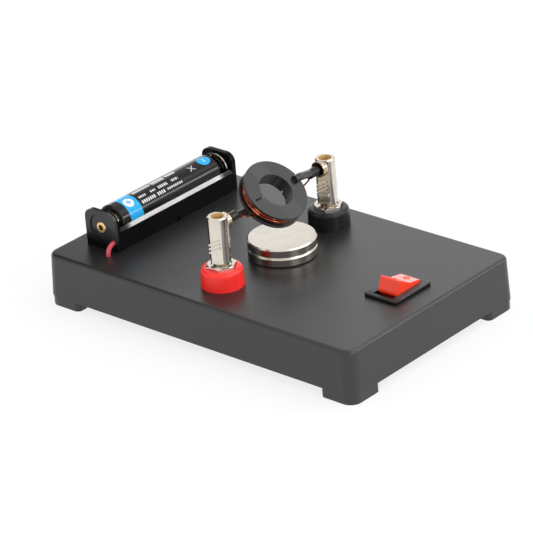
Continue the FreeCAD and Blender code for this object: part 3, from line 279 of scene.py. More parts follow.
class Surface:
    """A Principled material whose colour, roughness and relief vary on Object coordinates."""

    def __init__(self, name, roughness=0.5, metallic=0.0, **constants):
        self.material = bpy.data.materials.new(name)
        self.material.use_nodes = True
        self.tree = self.material.node_tree
        self.shader = self.tree.nodes["Principled BSDF"]
        self.shader.inputs["Roughness"].default_value = roughness
        self.shader.inputs["Metallic"].default_value = metallic
        for socket, value in constants.items():
            self.shader.inputs[socket.replace("_", " ")].default_value = value
        self.coordinates = self.tree.nodes.new("ShaderNodeTexCoord")
        self.relief = None

    def vector(self, centre=(0, 0, 0), stretch=(1, 1, 1)):
        """Object coordinates about a centre, stretched by a Mapping node."""
        mapping = self.tree.nodes.new("ShaderNodeMapping")
        mapping.vector_type = "TEXTURE"
        mapping.inputs["Location"].default_value = centre
        mapping.inputs["Scale"].default_value = stretch
        self.tree.links.new(self.coordinates.outputs["Object"], mapping.inputs["Vector"])
        return mapping.outputs["Vector"]

    def axes(self, centre):
        """The three coordinates about a centre, in millimetres."""
        node = self.tree.nodes.new("ShaderNodeSeparateXYZ")
        vector = self.vector(centre, (MM, MM, MM))
        self.tree.links.new(vector, node.inputs["Vector"])
        return [Field(self.tree, socket) for socket in node.outputs]

    def noise(self, feature, detail=2.0, stretch=(1, 1, 1), distortion=0.0):
        """Noise whose lumps are about one feature across, in millimetres."""
        node = self.tree.nodes.new("ShaderNodeTexNoise")
        node.inputs["Scale"].default_value = 1.0 / (feature * MM)
        node.inputs["Detail"].default_value = detail
        node.inputs["Distortion"].default_value = distortion
        self.tree.links.new(self.vector(stretch=stretch), node.inputs["Vector"])
        return Field(self.tree, node.outputs[0])

    def blend(self, factor, first, second):
        """A colour between two, each of them a colour or the result of another blend."""
        node = self.tree.nodes.new("ShaderNodeMix")
        node.data_type = "RGBA"
        self.tree.links.new(factor.socket, node.inputs[0])
        for socket, value in ((node.inputs[6], first), (node.inputs[7], second)):
            if isinstance(value, bpy.types.NodeSocket):
                self.tree.links.new(value, socket)
            else:
                socket.default_value = (*value, 1.0)
        return node.outputs[2]

    def shaded(self, paint, amount, patch):
        """A colour that drifts a little lighter and darker over patches of a size."""
        drift = ramp(self.noise(patch, 3.0), 0.32, 0.68)
        return self.blend(drift, scaled(paint, 1 - amount), scaled(paint, 1 + amount))

    def paint(self, value):
        self.tree.links.new(value, self.shader.inputs["Base Color"])

    def polish(self, field):
        self.tree.links.new(field.socket, self.shader.inputs["Roughness"])

    def plate(self, field):
        self.tree.links.new(field.socket, self.shader.inputs["Metallic"])

    def paint_sheen_faces(self, where, dull, painted_sheen):
        """Paints the faces a field picks with painted sheen for a bright reflection, and the
        rest a dull colour.
        """
        self.paint(self.blend(where, dull, tuple(painted_sheen)))
        self.plate(ramp(where, 0.0, 1.0, 0.0, 0.7))

    def patches(self, low, high):
        """Soft patches left by handling, to be added to a roughness."""
        return ramp(self.noise(6.0, 4.0, distortion=0.4), 0.3, 0.7, low, high)

    def raise_by(self, field, depth):
        """Adds relief of a depth in millimetres, over what is there already."""
        bump = self.tree.nodes.new("ShaderNodeBump")
        bump.inputs["Strength"].default_value = 1.0
        bump.inputs["Distance"].default_value = depth * MM
        self.tree.links.new(field.socket, bump.inputs["Height"])
        if self.relief is not None:
            self.tree.links.new(self.relief, bump.inputs["Normal"])
        self.relief = bump.outputs["Normal"]
        self.tree.links.new(self.relief, self.shader.inputs["Normal"])


def scaled(paint, factor):
    return tuple(min(1.0, part * factor) for part in paint)


def moulded(
    name, paint, roughness, grain, depth, drift=0.12, rubbed=0.05, haze=0.045, **constants
):
    """Moulded plastic: a grain of a size and depth, soft patches and a few rubbed streaks."""
    surface = Surface(name, **constants)
    surface.paint(surface.shaded(paint, drift, 9.0))
    streaks = ramp(surface.noise(1.1, 2.0, stretch=(1, 14, 1)), 0.60, 0.72, 0.0, rubbed)
    surface.polish(surface.patches(-haze, haze) + streaks + roughness)
    surface.raise_by(surface.noise(grain, 2.0), depth)
    return surface.material


def plated(name, paint, roughness, brushed=(1, 1, 1), pits=0.0005):
    """Plated metal with faint brushing, handling haze and tiny pits."""
    surface = Surface(name, metallic=1.0)
    surface.paint(surface.shaded(paint, 0.05, 4.0))
    haze = ramp(surface.noise(3.0, 4.0, distortion=0.6), 0.35, 0.7, -0.03, 0.05)
    lines = ramp(surface.noise(0.35, 2.0, stretch=brushed), 0.35, 0.65, -0.02, 0.03)
    surface.polish(haze + lines + roughness)
    surface.raise_by(surface.noise(0.35, 2.0, stretch=brushed), pits)
    return surface.material


# Parts of a socket post, in millimetres: the bore's floor and top, the lip round its cross
# hole (its reach from the axis and its foot and head), and what is left of a thread.
BORE_SPAN = (20, 45)
LIP_REACH = (3.04, 3.2)
LIP_SPAN = (32.4, 38.6)
THREAD_TOP = 14.5
THREAD_PITCH = 0.7
THREAD_DEPTH = 0.12


def socket_metal(name, outside, inside, axis, bore, roughness):
    """Nickel outside, and bare brass down the bore and on the lip of the cross hole."""
    surface = Surface(name)
    across, along, up = surface.axes((axis.x, axis.y, 0))
    reach = across.reach(along)
    in_bore = reach.below(bore / MM + 0.1, 0.1).both(up.within(*BORE_SPAN, 0.1))
    lip = ramp(reach, *LIP_REACH).both(up.within(*LIP_SPAN, 0.1)) * 0.85
    plate = surface.shaded(outside, 0.05, 3.0)
    bare = surface.shaded(inside, 0.10, 1.5)
    plate = surface.blend(lip, plate, scaled(inside, 0.52))
    surface.paint(surface.blend(in_bore, plate, bare))
    surface.plate(ramp(in_bore, 0.0, 1.0, 1.0, 0.45))
    haze = ramp(surface.noise(2.0, 4.0, distortion=0.5), 0.35, 0.7, -0.03, 0.06)
    rings = ramp(surface.noise(0.5, 2.0, stretch=(6, 6, 0.6)), 0.35, 0.65, -0.02, 0.03)
    surface.polish(haze + rings + ramp(in_bore, 0.0, 1.0, roughness, roughness + 0.22))
    surface.raise_by(surface.noise(0.5, 2.0, stretch=(6, 6, 0.6)), 0.0006)
    thread = (up * (2 * math.pi / THREAD_PITCH)).math("SINE") * up.below(THREAD_TOP, 0.2)
    surface.raise_by(thread, THREAD_DEPTH)
    return surface.material


def dress(material, *nodes):
    """Gives solids of the frame a finish."""
    for node in nodes:
        for slot in frame["nodes"][node].material_slots:
            slot.material = material


# ---------------------------------------------------------------------------------------
# Meshes
# ---------------------------------------------------------------------------------------


def add_piece(name, mesh, material, body, sharp=35.0):
    """Turns a bmesh into a shaded object that moves with a body."""
    bmesh.ops.recalc_face_normals(mesh, faces=mesh.faces)
    data = bpy.data.meshes.new(name)
    mesh.to_mesh(data)
    mesh.free()
    data.materials.append(material)
    data.shade_smooth()
    data.set_sharp_from_angle(angle=math.radians(sharp))
    piece = bpy.data.objects.new(name, data)
    bpy.context.scene.collection.objects.link(piece)
    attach(piece, body)
    return piece


def add_ring(mesh, radius, wire, matrix, sides, steps=96):
    """A closed ring of round wire about Z, put in place by a matrix."""
    lift = Matrix.Translation((radius, 0, 0)) @ Matrix.Rotation(math.pi / 2, 4, "X")
    made = bmesh.ops.create_circle(mesh, segments=sides, radius=wire, matrix=lift)
    section = {edge for vertex in made["verts"] for edge in vertex.link_edges}
    before = set(mesh.verts) - set(made["verts"])
    bmesh.ops.spin(
        mesh,
        geom=list(section) + made["verts"],
        cent=(0, 0, 0),
        axis=(0, 0, 1),
        angle=2 * math.pi,
        steps=steps,
        use_merge=True,
    )
    ring = [vertex for vertex in mesh.verts if vertex not in before]
    bmesh.ops.transform(mesh, matrix=matrix, verts=ring)


def spun(mesh, outline, steps=96):
    """A solid of revolution about Z from a closed outline of points (radius, height)."""
    verts = [mesh.verts.new((reach, 0, height)) for reach, height in outline]
    edges = [mesh.edges.new(pair) for pair in zip(verts, verts[1:] + verts[:1])]
    bmesh.ops.spin(
        mesh,
        geom=verts + edges,
        cent=(0, 0, 0),
        axis=(0, 0, 1),
        angle=2 * math.pi,
        steps=steps,
        use_merge=True,
    )
    bmesh.ops.remove_doubles(mesh, verts=mesh.verts, dist=1e-7)


class MotorOperator:
    """Shared by the operators: they work on the frame and can be undone."""

    bl_options = {"REGISTER", "UNDO"}


# ---------------------------------------------------------------------------------------
# Tray
# ---------------------------------------------------------------------------------------


class MotorDressTray(MotorOperator, bpy.types.Operator):
    """Give the tray its satin moulded finish."""

    bl_idname = "motor.dress_tray"
    bl_label = "Tray"

    def execute(self, context):
        finish = context.scene.motor_finish
        shell = moulded(
            "satin_tray",
            finish.shell,
            roughness=0.35,
            grain=0.45,
            depth=0.0007,
            drift=0.05,
            rubbed=0.004,
            haze=0.014,
            Specular_IOR_Level=0.66,
        )
        dress(shell, "base_shell")
        return {"FINISHED"}


# ---------------------------------------------------------------------------------------
# Terminals
# ---------------------------------------------------------------------------------------


class MotorDressTerminals(MotorOperator, bpy.types.Operator):
    """Finish both socket terminals, their collars and their fasteners."""

    bl_idname = "motor.dress_terminals"
    bl_label = "Terminals"

    def execute(self, context):
        finish = context.scene.motor_finish
        bore = context.scene.motor_sizes.socket_radius
        for end in ("red", "black"):
            axis = box_middle("terminal_collar_" + end)
            name = "terminal_post_" + end
            metal = socket_metal(
                name + "_metal", finish.nickel, finish.brass, axis, bore, roughness=0.16
            )
            dress(metal, name)
        red = moulded(
            "red_collar", finish.collar_red, roughness=0.34, grain=0.5, depth=0.004, drift=0.05
        )
        black = moulded(
            "black_collar",
            finish.collar_black,
            roughness=0.34,
            grain=0.5,
            depth=0.006,
            Specular_IOR_Level=0.36,
        )
        dress(red, "terminal_collar_red")
        dress(black, "terminal_collar_black")
        dress(plated("nickel_nut", finish.nickel, roughness=0.16), "terminal_collar_nuts")
        dress(plated("steel_nut", finish.steel, roughness=0.26), "terminal_lock_nuts")
        fibre = moulded(
            "fibre_washer", finish.fibre, roughness=0.62, grain=0.25, depth=0.010, drift=0.25
        )
        dress(fibre, "terminal_washers")
        dress(plated("tinned_tag", finish.tin, roughness=0.28, pits=0.003), "solder_tags")
        return {"FINISHED"}


# ---------------------------------------------------------------------------------------
# Magnets
# ---------------------------------------------------------------------------------------


# Painted shade: how much of the plate's colour the discs' sides keep.
SIDE_PAINTED_SHADE = 0.66


def magnet_plate(paint):
    """Nickel plate, with the discs' sides painted darker than their faces as painted shade."""
    surface = Surface("magnet_nickel", metallic=1.0)
    low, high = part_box("magnet_upper")
    middle = (low + high) / 2
    radius = (high.x - low.x) / 2 / MM
    across, along = surface.axes(middle)[:2]
    # Painted shade: the discs' sides get a darker copy of the plate's colour.
    side = ramp(across.reach(along), radius - 0.10, radius - 0.03)
    bright = surface.shaded(paint, 0.05, 4.0)
    surface.paint(surface.blend(side, bright, scaled(paint, SIDE_PAINTED_SHADE)))
    haze = ramp(surface.noise(3.0, 4.0, distortion=0.6), 0.35, 0.7, -0.03, 0.05)
    surface.polish(haze + 0.22)
    surface.raise_by(surface.noise(0.35, 2.0, stretch=(5, 5, 1)), 0.00015)
    return surface.material


class MotorDressMagnets(MotorOperator, bpy.types.Operator):
    """Nickel plate for the two disc magnets."""

    bl_idname = "motor.dress_magnets"
    bl_label = "Magnets"

    def execute(self, context):
        paint = context.scene.motor_finish.nickel
        dress(magnet_plate(paint), "magnet_lower", "magnet_upper")
        return {"FINISHED"}


# ---------------------------------------------------------------------------------------
# Rotor
# ---------------------------------------------------------------------------------------


# Copper colour of the wire's painted highlights, and how far a turn of the coil may lean, in
# radians, and sink under the outermost one, in millimetres.
PAINTED_COPPER_HIGHLIGHT = (0.78, 0.26, 0.11)
TURN_LEAN = 0.008
TURN_SINK = 0.16

# Where the bobbin's arms begin, in millimetres along the shaft from its middle.
ARM_START = (2.6, 3.4)


def enamelled(name, paint):
    """Copper under clear red enamel, darker and lighter in random patches, with painted
    highlights.
    """
    surface = Surface(name, metallic=1.0, Coat_Weight=0.25, Coat_Roughness=0.08)
    base = surface.shaded(paint, 0.30, 3.0)
    # Painted highlight: spots of bright copper colour stand in for glints on the wire.
    highlight_spots = ramp(surface.noise(2.4, 3.0), 0.56, 0.68)
    surface.paint(surface.blend(highlight_spots, base, PAINTED_COPPER_HIGHLIGHT))
    surface.polish(ramp(surface.noise(1.6, 3.0), 0.3, 0.7, 0.16, 0.28))
    surface.raise_by(surface.noise(0.8, 2.0), 0.002)
    return surface.material


class MotorWindCoil(MotorOperator, bpy.types.Operator):
    """Wind the coil turn by turn between the bobbin's flanges."""

    bl_idname = "motor.wind_coil"
    bl_label = "Coil"

    def execute(self, context):
        finish = context.scene.motor_finish
        sizes = context.scene.motor_sizes
        place = Matrix.Translation(shaft) @ Matrix.Rotation(sizes.rest_turn, 4, "Y")
        pitch = sizes.coil_width / sizes.turns_across
        layer_step = pitch * 0.87
        wire = pitch * 0.47
        outer = sizes.coil_radius - wire
        chance = random.Random(4)
        mesh = bmesh.new()
        for layer, turns in enumerate((sizes.turns_across, sizes.turns_across - 1)):
            radius = outer - layer * layer_step
            for number in range(turns):
                height = (number - (turns - 1) / 2) * pitch
                lean_x = chance.uniform(-TURN_LEAN, TURN_LEAN)
                lean_y = chance.uniform(-TURN_LEAN, TURN_LEAN)
                lean = Euler((lean_x, lean_y, 0)).to_matrix().to_4x4()
                seat = Matrix.Translation((0, 0, height)) @ lean
                sunk = chance.uniform(0, TURN_SINK) * MM
                add_ring(mesh, radius - sunk, wire, place @ seat, sides=12)
        enamel = enamelled("enamelled_copper", finish.enamel)
        winding = add_piece("coil_turns", mesh, enamel, "rotor", sharp=80.0)
        core = bmesh.new()
        half = sizes.coil_width / 2
        hub = sizes.hub_radius
        reach = outer - layer_step
        spun(core, [(hub, -half), (reach, -half), (reach, half), (hub, half)])
        bmesh.ops.transform(core, matrix=place, verts=core.verts)
        # Painted shade: the core under the outer turns is dark brown for the shade between them
        # and in the slit.
        core_shade = moulded(
            "coil_tape", finish.core_shade, roughness=0.6, grain=0.3, depth=0.006, drift=0.2
        )
        add_piece("coil_core", core, core_shade, "rotor")
        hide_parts("coil_winding")
        return {"FINISHED"}


def coated_bobbin(finish):
    """Matt moulding whose arms carry a darker coat."""
    surface = Surface("matt_bobbin")
    along = surface.axes((0, shaft.y, 0))[1].math("ABSOLUTE")
    on_arm = ramp(along, *ARM_START)
    matt = surface.shaded(finish.bobbin, 0.10, 9.0)
    surface.paint(surface.blend(on_arm, matt, tuple(finish.arm)))
    surface.polish(surface.patches(-0.04, 0.05) + ramp(on_arm, 0.0, 1.0, 0.56, 0.28))
    surface.raise_by(surface.noise(0.3, 2.0), 0.008)
    return surface.material


class MotorDressRotor(MotorOperator, bpy.types.Operator):
    """Matt finish for the bobbin, tinned sleeves and copper ends."""

    bl_idname = "motor.dress_rotor"
    bl_label = "Rotor"

    def execute(self, context):
        finish = context.scene.motor_finish
        dress(coated_bobbin(finish), "bobbin_half_front", "bobbin_half_back")
        tinned = plated("tinned_sleeve", finish.sleeve, roughness=0.3, pits=0.002)
        dress(tinned, "contact_sleeve_front", "contact_sleeve_back")
        ends = enamelled("enamelled_ends", finish.enamel)
        dress(ends, "coil_lead_front", "coil_lead_back")
        return {"FINISHED"}


# ---------------------------------------------------------------------------------------
# Battery holder and cell
# ---------------------------------------------------------------------------------------


# The holder's faces with painted sheen, in millimetres: the bevels' foot and head over its floor
# and their distance from its ends, the front plate's thickness, and where its painted sheen sets
# in.
BEVEL_SPAN = (5.95, 7.4)
BEVEL_FROM_END = 6.0
FRONT_PLATE = 0.9
FRONT_FADE = (2.0, 7.0)

# Where the wide coil with the spring's painted highlight begins, in mm along the cell from its
# plate.
LIT_COIL_START = (-0.95, -0.65)


def glossy_holder(finish):
    """Dull moulding with painted sheen on its front face and on the bevels along its walls."""
    surface = Surface("glossy_holder", Specular_IOR_Level=0.06)
    low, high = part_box("battery_box")
    middle = (low + high) / 2
    half = (high.y - low.y) / 2 / MM
    along, up = surface.axes((0, middle.y, low.z))[1:]
    between_ends = along.math("ABSOLUTE").below(half - BEVEL_FROM_END, 2.5)
    bevels = up.within(*BEVEL_SPAN, 0.1).both(between_ends)
    front = along.below(FRONT_PLATE - half, 0.2).both(ramp(up, *FRONT_FADE)) * 0.6
    dull = surface.shaded(finish.holder, 0.12, 9.0)
    # Painted sheen: the bevels and the front face get a grey, partly metallic colour for their
    # reflection.
    surface.paint_sheen_faces(bevels.either(front), dull, finish.painted_sheen)
    surface.polish(surface.patches(-0.04, 0.05) + 0.15)
    surface.raise_by(surface.noise(0.8, 2.0), 0.003)
    return surface.material


def spring_painted_light(finish):
    """Drawn wire painted nearly black as painted shade, with a painted highlight on the wide
    coil.
    """
    surface = Surface("spring_steel", roughness=0.24, metallic=1.0)
    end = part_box("cell_spring")[1].y
    lit_coil = ramp(surface.axes((0, end, 0))[1], *LIT_COIL_START)
    # Painted shade: the wire between cell and plate is nearly black; painted highlight: the wide
    # coil is lighter.
    dark = surface.shaded(scaled(finish.spring, 0.12), 0.2, 2.0)
    surface.paint(surface.blend(lit_coil, dark, scaled(finish.spring, 2.4)))
    surface.raise_by(surface.noise(0.35, 2.0), 0.001)
    return surface.material


class MotorDressHolder(MotorOperator, bpy.types.Operator):
    """Holder finish with painted sheen on bevels and front face, with contacts, rivets and
    screws.
    """

    bl_idname = "motor.dress_holder"
    bl_label = "Holder"

    def execute(self, context):
        finish = context.scene.motor_finish
        plastic = glossy_holder(finish)
        dress(plastic, "battery_box")
        self.leave_gate(plastic)
        dress(plated("brass_eyelet", finish.brass, roughness=0.22), "contact_eyelets")
        plate = plated("contact_plate", finish.nickel, roughness=0.2, brushed=(1, 1, 8))
        dress(plate, "contact_plate_negative", "contact_plate_positive")
        dress(spring_painted_light(finish), "cell_spring")
        dress(plated("holder_screw", finish.steel, roughness=0.25), "battery_box_screws")
        return {"FINISHED"}

    def leave_gate(self, plastic):
        """The nub that is left of the moulding's gate, at the foot of the inner wall."""
        low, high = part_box("battery_box")
        wall_foot = Vector((high.x, (low.y + high.y) / 2, low.z))
        spot = wall_foot + Vector((0.08, 0.4, 0.9)) * MM
        size = Vector((0.5, 0.9, 1.5)) * MM
        mesh = bmesh.new()
        shape = Matrix.Translation(spot) @ Matrix.Diagonal((*size, 1))
        bmesh.ops.create_cube(mesh, size=1.0, matrix=shape)
        bmesh.ops.bevel(
            mesh, geom=mesh.edges[:], affect="EDGES", offset=0.15 * MM, segments=3, profile=0.5
        )
        add_piece("holder_gate", mesh, plastic, "base")


# The sleeve's print. Places are measured round the cell from its top and along it from its
# middle, in millimetres.
SLEEVE_RADIUS = 5.25
BAND_SPAN = (-17.2, -11.8)
PLUS_PLACE = (2.19, -14.85)
DISC_RADIUS = 1.75
MINUS_PLACE = (1.3, 19.3)
OVAL_HALVES = (2.0, 2.3)
CROSS_PLACE = (1.9, 13.2)
PRINT_EDGE = 0.12

# Bars that are cut into strokes by a wave along the cell, of so many radians to a
# millimetre. Each bar has a place round the cell, a start and an end along it, and a height.
PRINT_BARS = (
    (-0.3, -10.6, -3.4, 1.2),
    (-0.25, -2.7, 3.0, 1.6),
    (-0.3, 3.6, 8.0, 1.2),
    (2.45, -10.6, -7.7, 0.75),
    (2.45, -5.6, -3.5, 0.75),
    (2.45, -2.1, 1.7, 1.0),
    (2.45, 3.4, 6.4, 0.85),
    (4.3, -10.9, -4.8, 1.05),
    (4.3, -4.0, -0.5, 1.05),
    (4.3, 0.2, 7.0, 0.65),
)
STROKE_WAVE = 7.4


def printed_sleeve(name, finish, axis):
    """The cell's sleeve: dark film with a band, its polarity marks and plain white bars."""
    surface = Surface(name, Specular_IOR_Level=0.21)
    across, along, up = surface.axes(axis)
    around = across.math("ARCTAN2", up) * SLEEVE_RADIUS

    def about(place):
        return around - place[0], along - place[1]

    def bar(place, half_around, half_along):
        beside, ahead = about(place)
        beside = beside.within(-half_around, half_around, PRINT_EDGE)
        return beside.both(ahead.within(-half_along, half_along, PRINT_EDGE))

    band = along.within(*BAND_SPAN, PRINT_EDGE)
    beside, ahead = about(PLUS_PLACE)
    disc = beside.reach(ahead).below(DISC_RADIUS, PRINT_EDGE)
    plus = bar(PLUS_PLACE, 0.2, 0.95).either(bar(PLUS_PLACE, 0.95, 0.2))
    beside, ahead = about(MINUS_PLACE)
    oval = (beside / OVAL_HALVES[0]).reach(ahead / OVAL_HALVES[1]).below(1.0, PRINT_EDGE / 2)
    minus = bar(MINUS_PLACE, 0.8, 0.2)
    bars = None
    for place, start, end, height in PRINT_BARS:
        block = bar((place, (start + end) / 2), height / 2, (end - start) / 2)
        bars = block if bars is None else bars.either(block)
    bars = bars.both((along * STROKE_WAVE).math("SINE").below(0.30, 0.35))
    beside, ahead = about(CROSS_PLACE)
    slant = (ahead - beside).within(-0.28, 0.28, PRINT_EDGE)
    counter = (ahead + beside).within(-0.28, 0.28, PRINT_EDGE)
    cross = slant.either(counter).both(bar(CROSS_PLACE, 1.0, 1.3))
    bars = bars.either(cross * 0.6)

    white = tuple(finish.print_white)
    blue = surface.shaded(finish.band, 0.06, 4.0)
    layer = surface.blend(band, surface.shaded(finish.jacket, 0.15, 5.0), blue)
    for mark, paint in ((bars, white), (disc, white), (plus, blue), (oval, blue)):
        layer = surface.blend(mark, layer, paint)
    surface.paint(surface.blend(minus * 0.7, layer, white))
    surface.polish(ramp(surface.noise(4.0, 3.0), 0.3, 0.7, 0.12, 0.20))
    surface.raise_by(surface.noise(2.6, 1.0, stretch=(1, 3, 1)), 0.014)
    return surface.material


class MotorDressCell(MotorOperator, bpy.types.Operator):
    """Print the cell's sleeve and plate its ends."""

    bl_idname = "motor.dress_cell"
    bl_label = "Cell"

    def execute(self, context):
        finish = context.scene.motor_finish
        middle = box_middle("cell_label")
        sleeve = printed_sleeve("printed_sleeve", finish, (middle.x, 0, middle.z))
        dress(sleeve, "cell_label")
        can = plated("cell_nickel", finish.nickel, roughness=0.18)
        dress(can, "cell_can", "cell_positive_cap", "cell_negative_disc")
        self.fold_film(finish, middle)
        return {"FINISHED"}

    def fold_film(self, finish, middle):
        """The sleeve's ends, shrunk over the can's shoulders."""
        film = moulded(
            "folded_film",
            finish.jacket,
            roughness=0.2,
            grain=0.8,
            depth=0.006,
            Specular_IOR_Level=0.3,
        )
        low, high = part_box("cell_can")
        label_low, label_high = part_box("cell_label")
        outer = (label_high.z - label_low.z) / 2
        for name, end, start, way in (
            ("cell_film_front", low.y, label_low.y, -1),
            ("cell_film_back", high.y, label_high.y, 1),
        ):
            depth = abs(end - start) + 0.04 * MM
            under = depth - 0.1 * MM
            # How far in from the sleeve's outside, in millimetres, and how far past its end.
            outline = (
                (0.02, 0),
                (0.12, depth * 0.55),
                (0.45, depth * 0.92),
                (0.9, depth),
                (1.75, depth),
                (1.75, under),
                (0.9, under),
                (0.3, 0),
            )
            mesh = bmesh.new()
            spun(mesh, [(outer - inset * MM, height) for inset, height in outline], steps=72)
            face = Matrix.Rotation(-way * math.pi / 2, 4, "X")
            seat = Matrix.Translation((middle.x, start, middle.z)) @ face
            bmesh.ops.transform(mesh, matrix=seat, verts=mesh.verts)
            add_piece(name, mesh, film, "cell", sharp=50.0)


# ---------------------------------------------------------------------------------------
# Leads
# ---------------------------------------------------------------------------------------


class MotorDressLeads(MotorOperator, bpy.types.Operator):
    """Finish the leads' insulation and solder their ends."""

    bl_idname = "motor.dress_leads"
    bl_label = "Leads"

    def execute(self, context):
        finish = context.scene.motor_finish
        red = moulded(
            "red_lead", finish.lead_red, roughness=0.32, grain=0.6, depth=0.006, drift=0.06
        )
        black = moulded(
            "black_lead", finish.lead_black, roughness=0.34, grain=0.6, depth=0.006
        )
        dress(red, "lead_red")
        dress(black, "lead_black", "lead_link")
        self.solder_ends(finish)
        return {"FINISHED"}

    def solder_ends(self, finish):
        """Drops of solder where the leads meet the terminals' tags and the switch's tabs."""
        solder = plated("solder", finish.tin, roughness=0.24, pits=0.004)
        tag_low, tag_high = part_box("solder_tags")
        # The leads end at this share of the tags' reach from the terminals' axis.
        lead_end = 0.68
        from_edge = 3.6 * MM
        under_tag = tag_low.z - 0.45 * MM
        spots = [
            (tag_high.x * lead_end, tag_low.y + from_edge, under_tag),
            (tag_low.x * lead_end, tag_high.y - from_edge, under_tag),
        ]
        for name in ("common", "output"):
            low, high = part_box("switch_tab_" + name)
            spots.append((low.x - 0.1 * MM, (low.y + high.y) / 2, low.z + 2.3 * MM))
        mesh = bmesh.new()
        drop = Matrix.Diagonal((1.3, 1.0, 0.8, 1))
        for spot in spots:
            shape = Matrix.Translation(spot) @ drop
            bmesh.ops.create_icosphere(mesh, subdivisions=3, radius=1.0 * MM, matrix=shape)
        add_piece("solder_drops", mesh, solder, "base", sharp=80.0)


# ---------------------------------------------------------------------------------------
# Switch
# ---------------------------------------------------------------------------------------


# The bezel's upper face, which takes painted sheen, in millimetres under its top, and where its
# front bar, with less painted sheen, gives way to the brighter rest, from its front edge.
BEZEL_FACE = (-0.16, -0.08)
FRONT_BAR = (1.6, 3.2)


def bezel_plastic(finish):
    """Dull moulding with painted sheen on the bezel's upper face, less of it on its front bar.
    """
    surface = Surface("switch_bezel", roughness=0.34, Specular_IOR_Level=0.15)
    low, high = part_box("switch_housing")
    along, up = surface.axes((0, low.y, high.z))[1:]
    # Painted sheen on the top face for its lit reflection, weaker on the front bar as painted
    # shade.
    face = ramp(up, *BEZEL_FACE) * ramp(along, *FRONT_BAR, 0.22, 0.68)
    surface.paint_sheen_faces(face, surface.shaded(finish.bezel, 0.1, 6.0), finish.painted_sheen)
    surface.raise_by(surface.noise(0.5, 2.0), 0.003)
    return surface.material


class MotorDressSwitch(MotorOperator, bpy.types.Operator):
    """Finish the rocker switch and mark the ends of its rocker."""

    bl_idname = "motor.dress_switch"
    bl_label = "Switch"

    def execute(self, context):
        finish = context.scene.motor_finish
        sizes = context.scene.motor_sizes
        dress(bezel_plastic(finish), "switch_housing")
        red = moulded(
            "switch_rocker_red",
            finish.rocker,
            roughness=0.16,
            grain=0.7,
            depth=0.003,
            drift=0.04,
        )
        dress(red, "switch_rocker")
        grey = moulded(
            "switch_plunger_grey", (0.3, 0.3, 0.3), roughness=0.4, grain=0.5, depth=0.004
        )
        dress(grey, "switch_plunger")
        dress(plated("switch_spring_steel", finish.spring, roughness=0.24), "switch_spring")
        brass = plated("switch_brass", finish.brass, roughness=0.24, brushed=(1, 1, 8))
        dress(brass, "switch_contact_blade", "switch_tab_common", "switch_tab_output")
        self.mark_ends(red, sizes)
        return {"FINISHED"}

    def mark_ends(self, material, sizes):
        """A raised bar on one half of the rocker and a ring on the other."""
        rocker = Matrix.Translation(rocker_pivot) @ Matrix.Rotation(-sizes.rocker_turn, 4, "X")
        slope = math.atan2(sizes.rocker_crown - sizes.rocker_dip, sizes.rocker_half)
        reach = sizes.rocker_half * 0.55
        height = sizes.rocker_dip + reach * math.tan(slope)
        marks = bmesh.new()
        ring_place = Matrix.Translation((0, reach, height)) @ Matrix.Rotation(slope, 4, "X")
        radius, wire = 0.85 * MM, 0.16 * MM
        add_ring(marks, radius, wire, rocker @ ring_place, sides=8, steps=40)
        bar_place = Matrix.Translation((0, -reach, height)) @ Matrix.Rotation(-slope, 4, "X")
        bar_size = Vector((0.32, 1.9, 0.3)) * MM
        bar_shape = Matrix.Diagonal((*bar_size, 1))
        made = bmesh.ops.create_cube(marks, size=1.0, matrix=rocker @ bar_place @ bar_shape)
        edges = {edge for vertex in made["verts"] for edge in vertex.link_edges}
        bmesh.ops.bevel(
            marks,
            geom=list(edges),
            affect="EDGES",
            offset=0.08 * MM,
            segments=2,
            profile=0.5,
            material=-1,
        )
        add_piece("rocker_marks", marks, material, "rocker")


# ---------------------------------------------------------------------------------------
# Stage
# ---------------------------------------------------------------------------------------


# Lamps, each with a place and a size in metres; all face LAMP_AIM.
LAMPS = (
    ("key", (0.45, 0.35, 0.85), (0.8, 0.8)),
    ("right", (1.1, -0.15, 0.30), (0.5, 0.35)),
    ("back", (-0.56, 0.68, 0.17), (0.5, 0.2)),
    ("edge", (0.91, 0.85, 0.44), (0.24, 0.20)),
)
LAMP_AIM = (0, 0, 0.02)
FLOOR_GLOW = 0.80

# The dark card's middle, and its height and length over those of its square.
FLAG_PLACE = (-0.16, -0.02, 0.14)
FLAG_HALF = 0.1
FLAG_SHAPE = (0.8, 1.1, 1)


def seen_rays(tree):
    """1 for the rays that show a thing as it is, and 0 for those that only light others."""
    rays = tree.nodes.new("ShaderNodeLightPath")
    kinds = ("Is Camera Ray", "Is Glossy Ray", "Is Transmission Ray")
    direct, mirrored, through = (Field(tree, rays.outputs[kind]) for kind in kinds)
    return (direct + mirrored + through).math("MINIMUM", 1.0)


def pale_floor(paint):
    """A matt floor that is nearly white where it is seen and keeps a soft shadow."""
    surface = Surface("pale_floor", roughness=0.9)
    surface.paint(surface.shaded(paint, 0.01, 60.0))
    tree = surface.tree
    glow = tree.nodes.new("ShaderNodeEmission")
    glow.inputs["Color"].default_value = (1, 1, 1, 1)
    glow.inputs["Strength"].default_value = 1.0
    mix = tree.nodes.new("ShaderNodeMixShader")
    output = tree.nodes["Material Output"]
    share_of_glow = seen_rays(tree) * FLOOR_GLOW
    tree.links.new(share_of_glow.socket, mix.inputs[0])
    tree.links.new(surface.shader.outputs[0], mix.inputs[1])
    tree.links.new(glow.outputs[0], mix.inputs[2])
    tree.links.new(mix.outputs[0], output.inputs["Surface"])
    return surface.material


